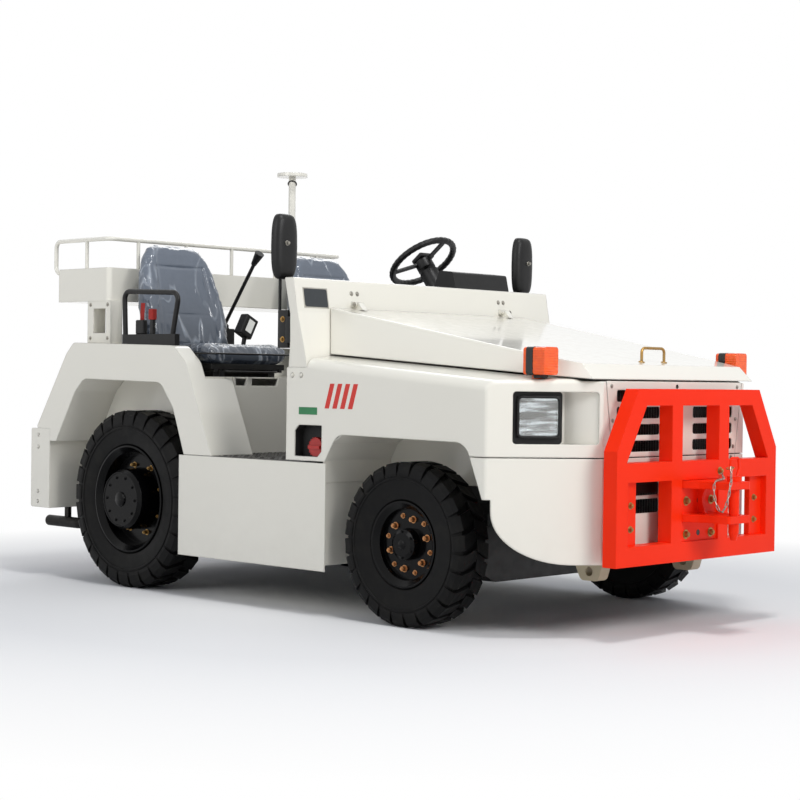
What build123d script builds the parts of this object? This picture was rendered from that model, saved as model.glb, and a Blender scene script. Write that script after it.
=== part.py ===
from build123d import *
import os
from math import atan2, cos, degrees, hypot, radians, sin, tan

# Airport baggage tug. All sizes are millimetres. x runs forward from the front axle, y to the
# left from the middle and z up from the ground. SHIFT moves x so that the whole machine is
# centred on the origin when the pieces are written.
os.makedirs("parts", exist_ok=True)

# Driving sizes
TIP_FRONT = 1058
TIP_REAR = -2640
SHIFT = -(TIP_FRONT + TIP_REAR) / 2
HALF_WIDTH = 850
SHEET = 5
WHEELBASE = 1790
FRONT_DIAMETER = 668
FRONT_TREAD_WIDTH = 176
REAR_DIAMETER = 836
REAR_TREAD_WIDTH = 208
FRONT_TRACK_HALF = 745
REAR_TRACK_HALF = 728
KINGPIN_Y = 650
FLOOR_TOP = 646
RAIL_Y = 324
RAIL_WIDTH = 60
GRILLE_X = 750
SEAT_Y = 485
STEERING_Y = 415
STEERING_TILT = 37.5

FRONT_AXLE_Z = FRONT_DIAMETER / 2
REAR_AXLE_Z = REAR_DIAMETER / 2
REAR_AXLE_X = -WHEELBASE
RAIL_INNER = RAIL_Y - RAIL_WIDTH / 2
RAIL_OUTER = RAIL_Y + RAIL_WIDTH / 2
SKIN_Y = HALF_WIDTH - SHEET


def block(x_span, y_span, z_span):
    """Box between two values on each axis."""
    sizes = [abs(span[1] - span[0]) for span in (x_span, y_span, z_span)]
    middle = [(span[0] + span[1]) / 2 for span in (x_span, y_span, z_span)]
    return Pos(*middle) * Box(*sizes)


def trim_corner(before, corner, after, radius):
    """Start, middle and end of the arc that rounds one corner of a path."""
    corner = Vector(corner)
    to_before = (Vector(before) - corner).normalized()
    to_after = (Vector(after) - corner).normalized()
    half_angle = radians(to_before.get_angle(to_after)) / 2
    reach = radius / tan(half_angle)
    towards_centre = (to_before + to_after).normalized()
    middle = corner + towards_centre * (radius / sin(half_angle) - radius)
    return corner + to_before * reach, middle, corner + to_after * reach


def rounded_edges(points, radii, closed):
    """Lines and arcs through points in space, each corner with its own radius."""
    count = len(points)
    turns = []
    for index in range(count):
        is_end = not closed and index in (0, count - 1)
        if radii[index] == 0 or is_end:
            here = Vector(points[index])
            turns.append((here, None, here))
        else:
            before = points[index - 1]
            after = points[(index + 1) % count]
            turns.append(trim_corner(before, points[index], after, radii[index]))
    edges = []
    for index in range(count):
        entry, middle, leave = turns[index]
        if middle is not None:
            edges.append(Edge.make_three_point_arc(entry, middle, leave))
        if closed or index < count - 1:
            following = turns[(index + 1) % count][0]
            if (following - leave).length > 0.001:
                edges.append(Edge.make_line(leave, following))
    return edges


def swept_outline(corners, place, direction):
    """Solid from a closed outline of (a, b) or (a, b, radius) corners swept along a direction."""
    points = [place(corner[0], corner[1]) for corner in corners]
    radii = [corner[2] if len(corner) > 2 else 0 for corner in corners]
    wire = Wire(rounded_edges(points, radii, True))
    return Solid.extrude(Face(wire), Vector(*direction))


def side_plate(corners, y_span):
    """Plate with an (x, z) outline between two values of y."""
    return swept_outline(corners, lambda a, b: (a, y_span[0], b), (0, y_span[1] - y_span[0], 0))


def cross_plate(corners, x_span):
    """Plate with a (y, z) outline between two values of x."""
    return swept_outline(corners, lambda a, b: (x_span[0], a, b), (x_span[1] - x_span[0], 0, 0))


def level_plate(corners, z_span):
    """Plate with an (x, y) outline between two values of z."""
    return swept_outline(corners, lambda a, b: (a, b, z_span[0]), (0, 0, z_span[1] - z_span[0]))


def rod(start, end, radius):
    """Round bar between two points."""
    start = Vector(start)
    along = Vector(end) - start
    plane = Plane(origin=start, z_dir=along)
    return Solid.make_cylinder(radius, along.length, plane)


def bent_rod(points, bend, radius):
    """Round bar along a path with every inner corner bent to the same radius."""
    wire = Wire(rounded_edges(points, [bend] * len(points), False))
    start = Vector(points[0])
    plane = Plane(origin=start, z_dir=Vector(points[1]) - start)
    return Solid.sweep(Face(Wire.make_circle(radius, plane)), path=wire)


def turned(section, centre):
    """Ring or disc turned about the y direction from (radius, y) corners."""
    face = Face(Wire.make_polygon([(0, y, radius) for radius, y in section]))
    return Pos(*centre) * Solid.revolve(face, 360, Axis.Y)


def band(points, thickness):
    """Outline of a bent sheet: a line of (a, b) points and its copy moved to the right-hand side."""
    count = len(points)
    moved = []
    for index in range(count):
        normals = []
        if index > 0:
            normals.append(right_normal(points[index - 1], points[index]))
        if index < count - 1:
            normals.append(right_normal(points[index], points[index + 1]))
        mean = [sum(values) / len(normals) for values in zip(*normals)]
        size = mean[0] ** 2 + mean[1] ** 2
        a = points[index][0] + mean[0] * thickness / size
        b = points[index][1] + mean[1] * thickness / size
        moved.append((a, b))
    return list(points) + moved[::-1]


def right_normal(start, end):
    """Unit normal to the right of the line from start to end."""
    da = end[0] - start[0]
    db = end[1] - start[1]
    size = hypot(da, db)
    return (db / size, -da / size)


def left_and_right(solid):
    """A solid and its mirror image on the other side of the machine."""
    return [solid, solid.mirror(Plane.XZ)]


def joined(*solids):
    """Solids fused into one."""
    whole = solids[0]
    for solid in solids[1:]:
        whole = whole + solid
    return whole


def without(solid, *tools):
    """A solid with others cut out of it."""
    for tool in tools:
        solid = solid - tool
    return solid


def bounded(faces, inset, start):
    """The part of a block on the inner side of flat faces: (point, point, point, inside point, moves)."""
    body = start
    for first, second, third, within, moves in faces:
        origin = Vector(first)
        normal = (Vector(second) - origin).cross(Vector(third) - origin).normalized()
        if (Vector(within) - origin).dot(normal) > 0:
            normal = normal * -1
        distance = inset if moves else 0
        plane = Plane(origin=origin - normal * distance, z_dir=normal)
        body = split(body, bisect_by=plane, keep=Keep.BOTTOM)
    return body


def softened(body, near, radius):
    """A body with the straight edges closest to given points rounded."""
    chosen = []
    for point in near:
        ranked = sorted(body.edges(), key=lambda edge: edge.distance_to(Vertex(*point)))
        chosen.append(ranked[0])
    return fillet(chosen, radius)


nodes = {}


def keep(name, *solids):
    """Remember the solids of one named piece."""
    flat = []
    for solid in solids:
        for item in (solid if isinstance(solid, list) else [solid]):
            flat.extend(item.solids())
    nodes[name] = flat


# Frame
RAIL_LOW = 300
RAIL_HIGH = 540
RAIL_NOSE_TOP = 430
RAIL_REAR_END = -2376
AXLE_ARCH_HALF = 170
FRONT_ARCH_Z = 440
REAR_ARCH_Z = 500
TOW_EYE = (586, 243)
TOW_EYE_RADIUS = 18
rail_outline = [
    (RAIL_REAR_END, 400), (RAIL_REAR_END, RAIL_HIGH),
    (REAR_AXLE_X - 200, RAIL_HIGH), (REAR_AXLE_X - AXLE_ARCH_HALF, 600),
    (REAR_AXLE_X + AXLE_ARCH_HALF, 600), (REAR_AXLE_X + 200, RAIL_HIGH),
    (-200, RAIL_HIGH), (-AXLE_ARCH_HALF, 580), (AXLE_ARCH_HALF, 580), (200, RAIL_HIGH),
    (480, RAIL_HIGH), (540, RAIL_NOSE_TOP), (GRILLE_X - SHEET, RAIL_NOSE_TOP),
    (GRILLE_X - SHEET, 330), (660, 300), (630, 206, 24), (545, 206, 24), (500, RAIL_LOW),
    (200, RAIL_LOW), (140, FRONT_ARCH_Z, 20), (-140, FRONT_ARCH_Z, 20), (-200, RAIL_LOW),
    (REAR_AXLE_X + 220, RAIL_LOW), (REAR_AXLE_X + 120, REAR_ARCH_Z, 20),
    (REAR_AXLE_X - 120, REAR_ARCH_Z, 20), (REAR_AXLE_X - 220, RAIL_LOW + 60),
]
rail = side_plate(rail_outline, (RAIL_INNER, RAIL_OUTER))
eye_hole = rod((TOW_EYE[0], RAIL_INNER - 10, TOW_EYE[1]), (TOW_EYE[0], RAIL_OUTER + 10, TOW_EYE[1]),
               TOW_EYE_RADIUS)
rail = rail - eye_hole
NOSE_BAR_LOW = 560
NOSE_BAR_HIGH = 640
nose_bar = block((705, GRILLE_X - SHEET), (-470, 470), (NOSE_BAR_LOW, NOSE_BAR_HIGH))
nose_post = block((705, GRILLE_X - SHEET), (RAIL_INNER, RAIL_OUTER), (RAIL_NOSE_TOP, NOSE_BAR_LOW))
nose_stile = block((705, GRILLE_X - SHEET), (428, 446), (NOSE_BAR_HIGH, 1000))
top_bar = block((705, GRILLE_X - SHEET), (-446, 446), (978, 1000))
# cross members: x from, x to, half length, z from, z to
cross_members = [
    (-2310, -2250, 600, 420, 520),
    (-1290, -1230, 450, 340, 500),
    (-520, -460, 450, 340, 500),
    (400, 450, RAIL_OUTER, 440, 520),
]
crossings = [block((x0, x1), (-half, half), (z0, z1)) for x0, x1, half, z0, z1 in cross_members]
keep("chassis_frame", joined(*left_and_right(rail), *crossings, nose_bar, top_bar,
                             *left_and_right(nose_post), *left_and_right(nose_stile)))

# Front axle, knuckles and rear axle
BOSS_RADIUS = 45
KINGPIN_RADIUS = 20
PIN_CLEARANCE = 0.05
BEAM_HALF = 55
boss_low = FRONT_AXLE_Z - 42
boss_high = FRONT_AXLE_Z + 42
beam = cross_plate([(-612, 300), (-310, 150, 30), (310, 150, 30), (612, 300), (612, 370), (300, 390),
                    (-300, 390), (-612, 370)], (-BEAM_HALF, BEAM_HALF))
beam_nose = level_plate([(-BEAM_HALF, 600), (BEAM_HALF, 600), (40, KINGPIN_Y), (-40, KINGPIN_Y)],
                        (boss_low + 8, boss_high - 8))
boss = Pos(0, KINGPIN_Y, FRONT_AXLE_Z) * Cylinder(BOSS_RADIUS, boss_high - boss_low)
front_pad = block((-50, 50), (RAIL_INNER, RAIL_OUTER), (380, FRONT_ARCH_Z))
pin_bore = Pos(0, KINGPIN_Y, FRONT_AXLE_Z) * Cylinder(KINGPIN_RADIUS + PIN_CLEARANCE, 200)
front_axle = joined(beam, *left_and_right(beam_nose), *left_and_right(boss), *left_and_right(front_pad))
keep("front_axle", without(front_axle, *left_and_right(pin_bore)))

EAR_THICKNESS = 34
EAR_GAP = 6
EAR_HALF = 42
SPINDLE_RADIUS = 25
WEB_INNER = KINGPIN_Y + BOSS_RADIUS + EAR_GAP
WEB_OUTER = WEB_INNER + 20
SPINDLE_END = 800


def knuckle():
    """Steering knuckle of the left wheel, straight ahead."""
    low = boss_low - EAR_GAP - EAR_THICKNESS
    high = boss_high + EAR_GAP
    solids = []
    for z in (low, high):
        ear = Pos(0, KINGPIN_Y, z + EAR_THICKNESS / 2) * Cylinder(EAR_HALF, EAR_THICKNESS)
        arm = block((-EAR_HALF, EAR_HALF), (KINGPIN_Y, WEB_OUTER), (z, z + EAR_THICKNESS))
        solids += [ear, arm]
    web = block((-EAR_HALF, EAR_HALF), (WEB_INNER, WEB_OUTER), (low, high + EAR_THICKNESS))
    pin = rod((0, KINGPIN_Y, low), (0, KINGPIN_Y, high + EAR_THICKNESS), KINGPIN_RADIUS)
    spindle = rod((0, WEB_OUTER - 2, FRONT_AXLE_Z), (0, SPINDLE_END, FRONT_AXLE_Z), SPINDLE_RADIUS)
    return joined(*solids, web, pin, spindle)


left_knuckle = knuckle()
keep("knuckle_left", left_knuckle)
keep("knuckle_right", left_knuckle.mirror(Plane.XZ))

REAR_TUBE_RADIUS = 60
REAR_SPINDLE_RADIUS = 40
REAR_SPINDLE_END = 800
rear_centre = (REAR_AXLE_X, 0, REAR_AXLE_Z)
casing = turned([(0, -640), (95, -640), (95, -600), (REAR_TUBE_RADIUS, -570), (70, -240), (165, -120),
                 (175, 0), (165, 120), (70, 240), (REAR_TUBE_RADIUS, 570), (95, 600), (95, 640),
                 (0, 640)], rear_centre)
rear_pad = block((REAR_AXLE_X - 55, REAR_AXLE_X + 55), (RAIL_INNER, RAIL_OUTER),
                 (REAR_AXLE_Z, REAR_ARCH_Z))
rear_spindle = rod((REAR_AXLE_X, -REAR_SPINDLE_END, REAR_AXLE_Z),
                   (REAR_AXLE_X, REAR_SPINDLE_END, REAR_AXLE_Z), REAR_SPINDLE_RADIUS)
keep("rear_axle", joined(casing, rear_spindle, *left_and_right(rear_pad)))

# Wheels
# corners of a tyre's side: share of the outer radius, share of the half width
TYRE_SIDE = [(0.66, 0.93), (0.827, 1.0), (0.94, 0.96), (1.0, 0.80)]
BEAD_SHARE = 0.62


def tyre(diameter, width, bead_radius, flange_radius):
    """Plain tyre standing round the y direction at the origin."""
    side = [(bead_radius, BEAD_SHARE * width / 2), (flange_radius + 3, TYRE_SIDE[-1][1] * width / 2)]
    side += [(share * diameter / 2, place * width / 2) for share, place in TYRE_SIDE]
    return turned(side + [(radius, -y) for radius, y in reversed(side)], (0, 0, 0))


FRONT_BEAD = 152
FRONT_FLANGE = 176
REAR_BEAD = 228
REAR_FLANGE = 252
FRONT_NAVE = 33
REAR_NAVE = 10


def front_rim():
    """Rim, disc and hub of a left front wheel, its outer face towards +y."""
    half = BEAD_SHARE * FRONT_TREAD_WIDTH / 2
    section = [(FRONT_BEAD, -half), (FRONT_BEAD, half), (FRONT_FLANGE, half + 16), (FRONT_FLANGE, half + 22),
               (168, half + 22), (146, half + 2), (142, FRONT_NAVE + 2), (66, FRONT_NAVE + 2),
               (62, FRONT_NAVE + 38), (48, FRONT_NAVE + 46), (0, FRONT_NAVE + 46),
               (0, 56), (SPINDLE_RADIUS + PIN_CLEARANCE, 56), (SPINDLE_RADIUS + PIN_CLEARANCE, -16),
               (60, -16), (66, FRONT_NAVE - 12), (142, FRONT_NAVE - 12), (142, -half - 2),
               (168, -half - 22), (FRONT_FLANGE, -half - 22), (FRONT_FLANGE, -half - 16)]
    return turned(section, (0, 0, 0))


def rear_rim():
    """Rim, disc and hub of a left rear wheel, its outer face towards +y."""
    half = BEAD_SHARE * REAR_TREAD_WIDTH / 2
    bore = REAR_SPINDLE_RADIUS + PIN_CLEARANCE
    section = [(REAR_BEAD, -half), (REAR_BEAD, half), (246, half + 22), (REAR_FLANGE, half + 28),
               (244, half + 30), (222, half + 2), (214, REAR_NAVE + 2), (146, REAR_NAVE + 2),
               (140, 118), (128, 134), (0, 134), (0, 76), (bore, 76), (bore, -78), (110, -78),
               (122, REAR_NAVE - 12), (214, REAR_NAVE - 12), (222, -half - 2), (244, -half - 28),
               (REAR_FLANGE, -half - 26), (246, -half - 20)]
    return turned(section, (0, 0, 0))


# wheels: name, x, distance from the middle, z, side (1 left), front or rear
WHEELS = [
    ("front_left", 0, FRONT_TRACK_HALF, FRONT_AXLE_Z, 1, True),
    ("front_right", 0, FRONT_TRACK_HALF, FRONT_AXLE_Z, -1, True),
    ("rear_left", REAR_AXLE_X, REAR_TRACK_HALF, REAR_AXLE_Z, 1, False),
    ("rear_right", REAR_AXLE_X, REAR_TRACK_HALF, REAR_AXLE_Z, -1, False),
]
front_tyre = tyre(FRONT_DIAMETER, FRONT_TREAD_WIDTH, FRONT_BEAD, FRONT_FLANGE)
rear_tyre = tyre(REAR_DIAMETER, REAR_TREAD_WIDTH, REAR_BEAD, REAR_FLANGE)
for name, x, distance, z, side, is_front in WHEELS:
    pair = (front_tyre, front_rim()) if is_front else (rear_tyre, rear_rim())
    for kind, solid in zip(("tyre", "rim"), pair):
        placed = Pos(x, distance, z) * solid
        keep(f"{kind}_{name}", placed if side > 0 else placed.mirror(Plane.XZ))

# Engine, radiator, side boxes and floor
ENGINE_REAR = -420
ENGINE_FRONT = 330
ENGINE_HALF = 240
ENGINE_TOP = 960
engine = block((ENGINE_REAR, ENGINE_FRONT), (-ENGINE_HALF, ENGINE_HALF), (430, ENGINE_TOP))
engine_foot = block((-60, 60), (ENGINE_HALF, RAIL_INNER), (460, 540))
keep("engine_block", joined(engine, *left_and_right(engine_foot)))
keep("radiator", block((560, 640), (-400, 400), (RAIL_NOSE_TOP, 985)))

STEP_REAR = -1378
STEP_FRONT = -421
STEP_TOP = 644
STEP_LOW = 190
STEP_BOX_REAR = -1340
STEP_BOX_FRONT = -440
STEP_INNER = 450
step_box = block((STEP_BOX_REAR, STEP_BOX_FRONT), (STEP_INNER, SKIN_Y), (214, FLOOR_TOP - 6))
step_skin = block((STEP_REAR, STEP_FRONT), (SKIN_Y, HALF_WIDTH), (STEP_LOW, STEP_TOP))
keep("step_boxes", left_and_right(joined(step_box, step_skin)))

SEAT_BASE_FRONT = -1300
FIREWALL_X = -575
FIREWALL_THICKNESS = 24
COWL_LOW = 1045
floor = block((SEAT_BASE_FRONT, FIREWALL_X), (-SKIN_Y + 1, SKIN_Y - 1), (FLOOR_TOP - 6, FLOOR_TOP))
firewall = block((FIREWALL_X, FIREWALL_X + FIREWALL_THICKNESS), (-780, 780), (FLOOR_TOP - 6, COWL_LOW))
keep("floor_plate", joined(floor, firewall))

# Front body: one hollow shape bounded by flat faces, cut into the panels that meet at its seams
BEND_X = 460
NOSE_CORNER_Y = 490
BODY_LOW = 290
FENDER_REAR = -664
HOOD_SIDE = [(-548, 705, 1104), (560, 607, 1024)]
HOOD_CORNER = (GRILLE_X, 556, 1011)
HOOD_GAP = 8
INSIDE = (0, 0, 600)
shoulder = ((HOOD_SIDE[0][0], HOOD_SIDE[0][1], HOOD_SIDE[0][2] - HOOD_GAP),
            (HOOD_SIDE[1][0], HOOD_SIDE[1][1], HOOD_SIDE[1][2] - HOOD_GAP), (0, HALF_WIDTH, 1037))
BODY_FACES = [
    (*shoulder, INSIDE, True),
    ((0, HALF_WIDTH, 0), (100, HALF_WIDTH, 0), (0, HALF_WIDTH, 100), INSIDE, True),
    ((BEND_X, HALF_WIDTH, 0), (GRILLE_X, NOSE_CORNER_Y, 0), (BEND_X, HALF_WIDTH, 100), INSIDE, True),
    ((GRILLE_X, 0, 0), (GRILLE_X, 100, 0), (GRILLE_X, 0, 100), INSIDE, True),
]


def front_hull(inset):
    """Left half of the front body as a solid, every outer face moved in by the inset."""
    low = BODY_LOW if inset == 0 else BODY_LOW - 50
    rear = FENDER_REAR if inset == 0 else FENDER_REAR - 50
    inner = 0 if inset == 0 else -50
    start = block((rear, GRILLE_X + 50), (inner, HALF_WIDTH + 50), (low, 1200))
    body = bounded(BODY_FACES, inset, start)
    along_side = (0, HALF_WIDTH - inset, 1037 - inset)
    along_facet = ((BEND_X + GRILLE_X) / 2, (HALF_WIDTH + NOSE_CORNER_Y) / 2, 1010)
    body = softened(body, [along_side], 48 - inset)
    return softened(body, [along_facet], 20 - inset)


ARCH = [(-428, 640), (-428, 651), (-356, 767, 70), (358, 758, 80), (445, 541), (473, 541),
        (476, BODY_LOW, 205), (900, BODY_LOW), (900, 0), (-428, 0)]
REAR_SKIRT = [(-900, 651), (-428, 651), (-428, 0), (-900, 0)]
SEAM_Z = 706
SEAM_GAP = 4
GRILLE_TOP_HALF = 478
GRILLE_LOW_HALF = 364
GRILLE_TOP = 1010

left_shell = front_hull(0) - front_hull(SHEET)
hood_hole = level_plate([(-560, -10), (-560, 697), (HOOD_SIDE[0][0], 697), (HOOD_SIDE[1][0], 597),
                         (688, 560), (697, 534), (GRILLE_X - 12, 484), (GRILLE_X - 12, -10)], (900, 1300))
nose_gap = block((GRILLE_X - 60, GRILLE_X + 10), (-10, 570), (HOOD_CORNER[2] - HOOD_GAP, 1300))
cowl_place = block((FENDER_REAR - 10, -540), (-10, HALF_WIDTH + 10), (COWL_LOW, 1300))
left_shell = without(left_shell, hood_hole, nose_gap, cowl_place,
                     side_plate(ARCH, (300, HALF_WIDTH + 20)), side_plate(REAR_SKIRT, (300, HALF_WIDTH + 20)))

grille_cut = cross_plate([(-10, BODY_LOW - 20), (GRILLE_LOW_HALF + SEAM_GAP, BODY_LOW - 20),
                          (GRILLE_TOP_HALF + SEAM_GAP, GRILLE_TOP + 30), (-10, GRILLE_TOP + 30)],
                         (GRILLE_X - 40, GRILLE_X + 20))
side_panels = left_shell - grille_cut
above_seam = block((300, 900), (0, 900), (SEAM_Z, 1300))
below_seam = block((300, 900), (0, 900), (0, SEAM_Z - SEAM_GAP))
rear_part = block((-900, 300), (0, 900), (0, 1300))
corner_panel = side_panels & below_seam
fender = (side_panels & above_seam) + (side_panels & rear_part)

# Headlight recess in the slanted face: distances along it from the bend, and heights
FACET_LENGTH = hypot(GRILLE_X - BEND_X, HALF_WIDTH - NOSE_CORNER_Y)
FACET_TURN = degrees(atan2(NOSE_CORNER_Y - HALF_WIDTH, GRILLE_X - BEND_X))
facet_place = Pos(BEND_X, HALF_WIDTH, 0) * Rot(0, 0, FACET_TURN)
RECESS = (105, 446)
RECESS_HEIGHT = (757, 960)
RECESS_DEPTH = 90
LAMP = (133, 291)
LAMP_HEIGHT = (786, 937)
LAMP_DEPTH = 42


def rounded_block(along, depth, height, radius):
    """Box on the slanted face, its outline's corners rounded; depth is measured inwards from the face."""
    a0, a1 = along
    z0, z1 = height
    corners = [(a0, z0, radius), (a1, z0, radius), (a1, z1, radius), (a0, z1, radius)]
    return facet_place * side_plate(corners, (-depth[1], -depth[0]))


recess_hole = rounded_block(RECESS, (-30, SHEET + 30), RECESS_HEIGHT, 14)
recess_outer = rounded_block((RECESS[0] - 4, RECESS[1] + 4), (SHEET - 1, RECESS_DEPTH),
                             (RECESS_HEIGHT[0] - 4, RECESS_HEIGHT[1] + 4), 16)
recess_inner = rounded_block(RECESS, (-30, RECESS_DEPTH - 4), RECESS_HEIGHT, 14)
recess_wedge = facet_place * level_plate([(RECESS[0] + 215, -RECESS_DEPTH - 1), (RECESS[1] + 1, -12),
                                          (RECESS[1] + 1, -RECESS_DEPTH - 1)],
                                         (RECESS_HEIGHT[0] - 1, RECESS_HEIGHT[1] + 1))
recess_box = (recess_outer - recess_inner) + (recess_wedge & recess_outer)
fender = max(((fender - recess_hole) + recess_box).solids(), key=lambda solid: solid.volume)

# Filler recess in the side
FILLER = [(-611, 669, 4), (-470, 669, 4), (-446, 693, 4), (-446, 802, 4), (-587, 802, 4), (-611, 778, 4)]
FILLER_DEPTH = 55
filler_hole = side_plate(FILLER, (HALF_WIDTH - SHEET - 20, HALF_WIDTH + 20))
filler_outer = block((-615, -442), (HALF_WIDTH - FILLER_DEPTH, SKIN_Y + 1), (665, 806))
filler_inner = side_plate(FILLER, (HALF_WIDTH - FILLER_DEPTH + 4, HALF_WIDTH + 20))
right_fender = fender.mirror(Plane.XZ)
filler_box = (filler_outer - filler_inner).mirror(Plane.XZ)
right_fender = (right_fender - filler_hole.mirror(Plane.XZ)) + filler_box

# Wheel house: bent sheet over the tyre and an upright wall inside it
WELL_INNER = 436
WELL_LINE = [(-440, 560), (-440, 655), (-396, 729), (-312, 780), (321, 771), (384, 726), (400, 684)]
well_top = side_plate(band(WELL_LINE, 4), (WELL_INNER, SKIN_Y))
well_wall = side_plate([(-440, 560), (-440, 655), (-396, 729), (-312, 780), (321, 771), (384, 726),
                        (400, 684), (400, 560)], (WELL_INNER, WELL_INNER + 4))
well = well_top + well_wall
keep("front_fenders", joined(fender, well), joined(right_fender, well.mirror(Plane.XZ)))
keep("corner_panels", left_and_right(corner_panel))

# Grille panel: slot rows from z, to z; all share the same two columns
SLOT_INNER = 115
SLOT_OUTER = 405
SLOT_ROWS = [(924, 970), (858, 904), (792, 835), (726, 770), (552, 605), (481, 537)]
front_sheet = block((GRILLE_X - SHEET, GRILLE_X), (-600, 600), (BODY_LOW, GRILLE_TOP - 5))
panel_edge = cross_plate([(-GRILLE_LOW_HALF, BODY_LOW - 20), (GRILLE_LOW_HALF, BODY_LOW - 20),
                          (GRILLE_TOP_HALF, GRILLE_TOP + 30), (-GRILLE_TOP_HALF, GRILLE_TOP + 30)],
                         (GRILLE_X - 40, GRILLE_X + 20))
grille = front_sheet & panel_edge
for low, high in SLOT_ROWS:
    outer = SLOT_OUTER if low > SEAM_Z else SLOT_OUTER - 30
    slot = cross_plate([(SLOT_INNER, low, 10), (outer, low, 10), (outer, high, 10),
                        (SLOT_INNER, high, 10)], (GRILLE_X - 20, GRILLE_X + 10))
    grille = without(grille, *left_and_right(slot))
seam = block((GRILLE_X - 20, GRILLE_X + 10), (-600, 600), (SEAM_Z - SEAM_GAP, SEAM_Z))
keep("grille_panel", grille - seam)

# Hood: hollow lid hinged at the cowl
HOOD_REAR_TOP = (-602, 655, 1304)
HOOD_RIDGE = (540, 582, 1099)
HOOD_NOSE_TOP = (690, 553, 1072)
HOOD_SHEET = 4
HOOD_FACES = [
    (HOOD_SIDE[0], HOOD_SIDE[1], HOOD_REAR_TOP, INSIDE, True),
    (HOOD_SIDE[1], HOOD_CORNER, HOOD_RIDGE, INSIDE, True),
    ((HOOD_REAR_TOP[0], 0, HOOD_REAR_TOP[2]), (HOOD_NOSE_TOP[0], 0, HOOD_NOSE_TOP[2]),
     (HOOD_NOSE_TOP[0], 100, HOOD_NOSE_TOP[2]), INSIDE, True),
    ((HOOD_NOSE_TOP[0], 0, HOOD_NOSE_TOP[2]), (HOOD_CORNER[0], 0, HOOD_CORNER[2]),
     (HOOD_CORNER[0], 100, HOOD_CORNER[2]), INSIDE, True),
    ((HOOD_REAR_TOP[0], 0, HOOD_REAR_TOP[2]), (HOOD_SIDE[0][0], 0, HOOD_SIDE[0][2]),
     (HOOD_SIDE[0][0], 100, HOOD_SIDE[0][2]), INSIDE, True),
]
HOOD_LOWER = ((HOOD_SIDE[0][0], 0, HOOD_SIDE[0][2]), (HOOD_CORNER[0], 0, HOOD_CORNER[2]),
              (HOOD_CORNER[0], 100, HOOD_CORNER[2]))


def hood_block(inset):
    """Left half of the hood as a solid, its outer faces moved in by the inset."""
    inner = 0 if inset == 0 else -20
    start = block((-700, 800), (inner, 760), (950, 1400))
    faces = HOOD_FACES if inset else HOOD_FACES + [(*HOOD_LOWER, (0, 0, 1300), False)]
    return bounded(faces, inset, start)


hood_half = hood_block(0) - hood_block(HOOD_SHEET)
hood_half = softened(hood_half, [(0, 620, 1200)], 8)
HINGE_X = -588
HINGE_Z = 1324
HINGE_Y = 495
hinge_strap = side_plate([(HINGE_X - 9, HINGE_Z + 9, 8), (HINGE_X + 9, HINGE_Z + 9, 8),
                          (HINGE_X + 40, HINGE_Z - 26), (HINGE_X - 9, HINGE_Z - 24)],
                         (HINGE_Y - 16, HINGE_Y + 16))
hinge_bore = rod((HINGE_X, HINGE_Y - 40, HINGE_Z), (HINGE_X, HINGE_Y + 40, HINGE_Z), 4.05)
strap = hinge_strap - hinge_bore
strap = strap - hood_block(HOOD_SHEET)
hood_solid = joined(hood_half, hood_half.mirror(Plane.XZ), *left_and_right(strap))
keep("hood", hood_solid)

HANDLE_X = 628
HANDLE_HALF = 78
HANDLE_HEIGHT = 58
handle_z = HOOD_NOSE_TOP[2] + (HOOD_NOSE_TOP[0] - HANDLE_X) * 0.1796
handle_feet = handle_z + 1.2
handle_grip = handle_z + HANDLE_HEIGHT
handle = bent_rod([(HANDLE_X, -HANDLE_HALF, handle_feet), (HANDLE_X, -HANDLE_HALF, handle_grip),
                   (HANDLE_X, HANDLE_HALF, handle_grip), (HANDLE_X, HANDLE_HALF, handle_feet)], 20, 6)
keep("hood_handle", handle)

# Cowl across the machine, open towards the driver
COWL_FRONT = [(-540, COWL_LOW), (-563, 1141), (-604, 1284), (-630, 1429, 12)]
COWL_BACK = [(-684, 1429, 6), (-680, 1410), (-648, 1274), (-646, 1154), (-654, COWL_LOW)]
COWL_WALL = 25
cowl_solid = side_plate(COWL_FRONT + COWL_BACK, (-HALF_WIDTH, HALF_WIDTH))
cowl_hollow = side_plate([(-540 - COWL_WALL, 1000), (-588, 1141), (-629, 1284), (-652, 1404),
                          (-760, 1404), (-760, 1000)], (-HALF_WIDTH + COWL_WALL, HALF_WIDTH - COWL_WALL))
cowl = cowl_solid - cowl_hollow
for side in (-1, 1):
    for offset in (-22, 22):
        y = side * HINGE_Y + offset
        ear = side_plate([(-640, HINGE_Z + 16), (HINGE_X, HINGE_Z + 9, 8), (HINGE_X + 9, HINGE_Z, 8),
                          (HINGE_X, HINGE_Z - 9, 8), (-640, HINGE_Z - 12)], (y - 5, y + 5))
        cowl = cowl + ear
    pin = rod((HINGE_X, side * HINGE_Y - 30, HINGE_Z), (HINGE_X, side * HINGE_Y + 30, HINGE_Z), 4)
    cowl = cowl + pin
cowl = cowl - cowl_hollow
keep("cowl", cowl)

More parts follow.
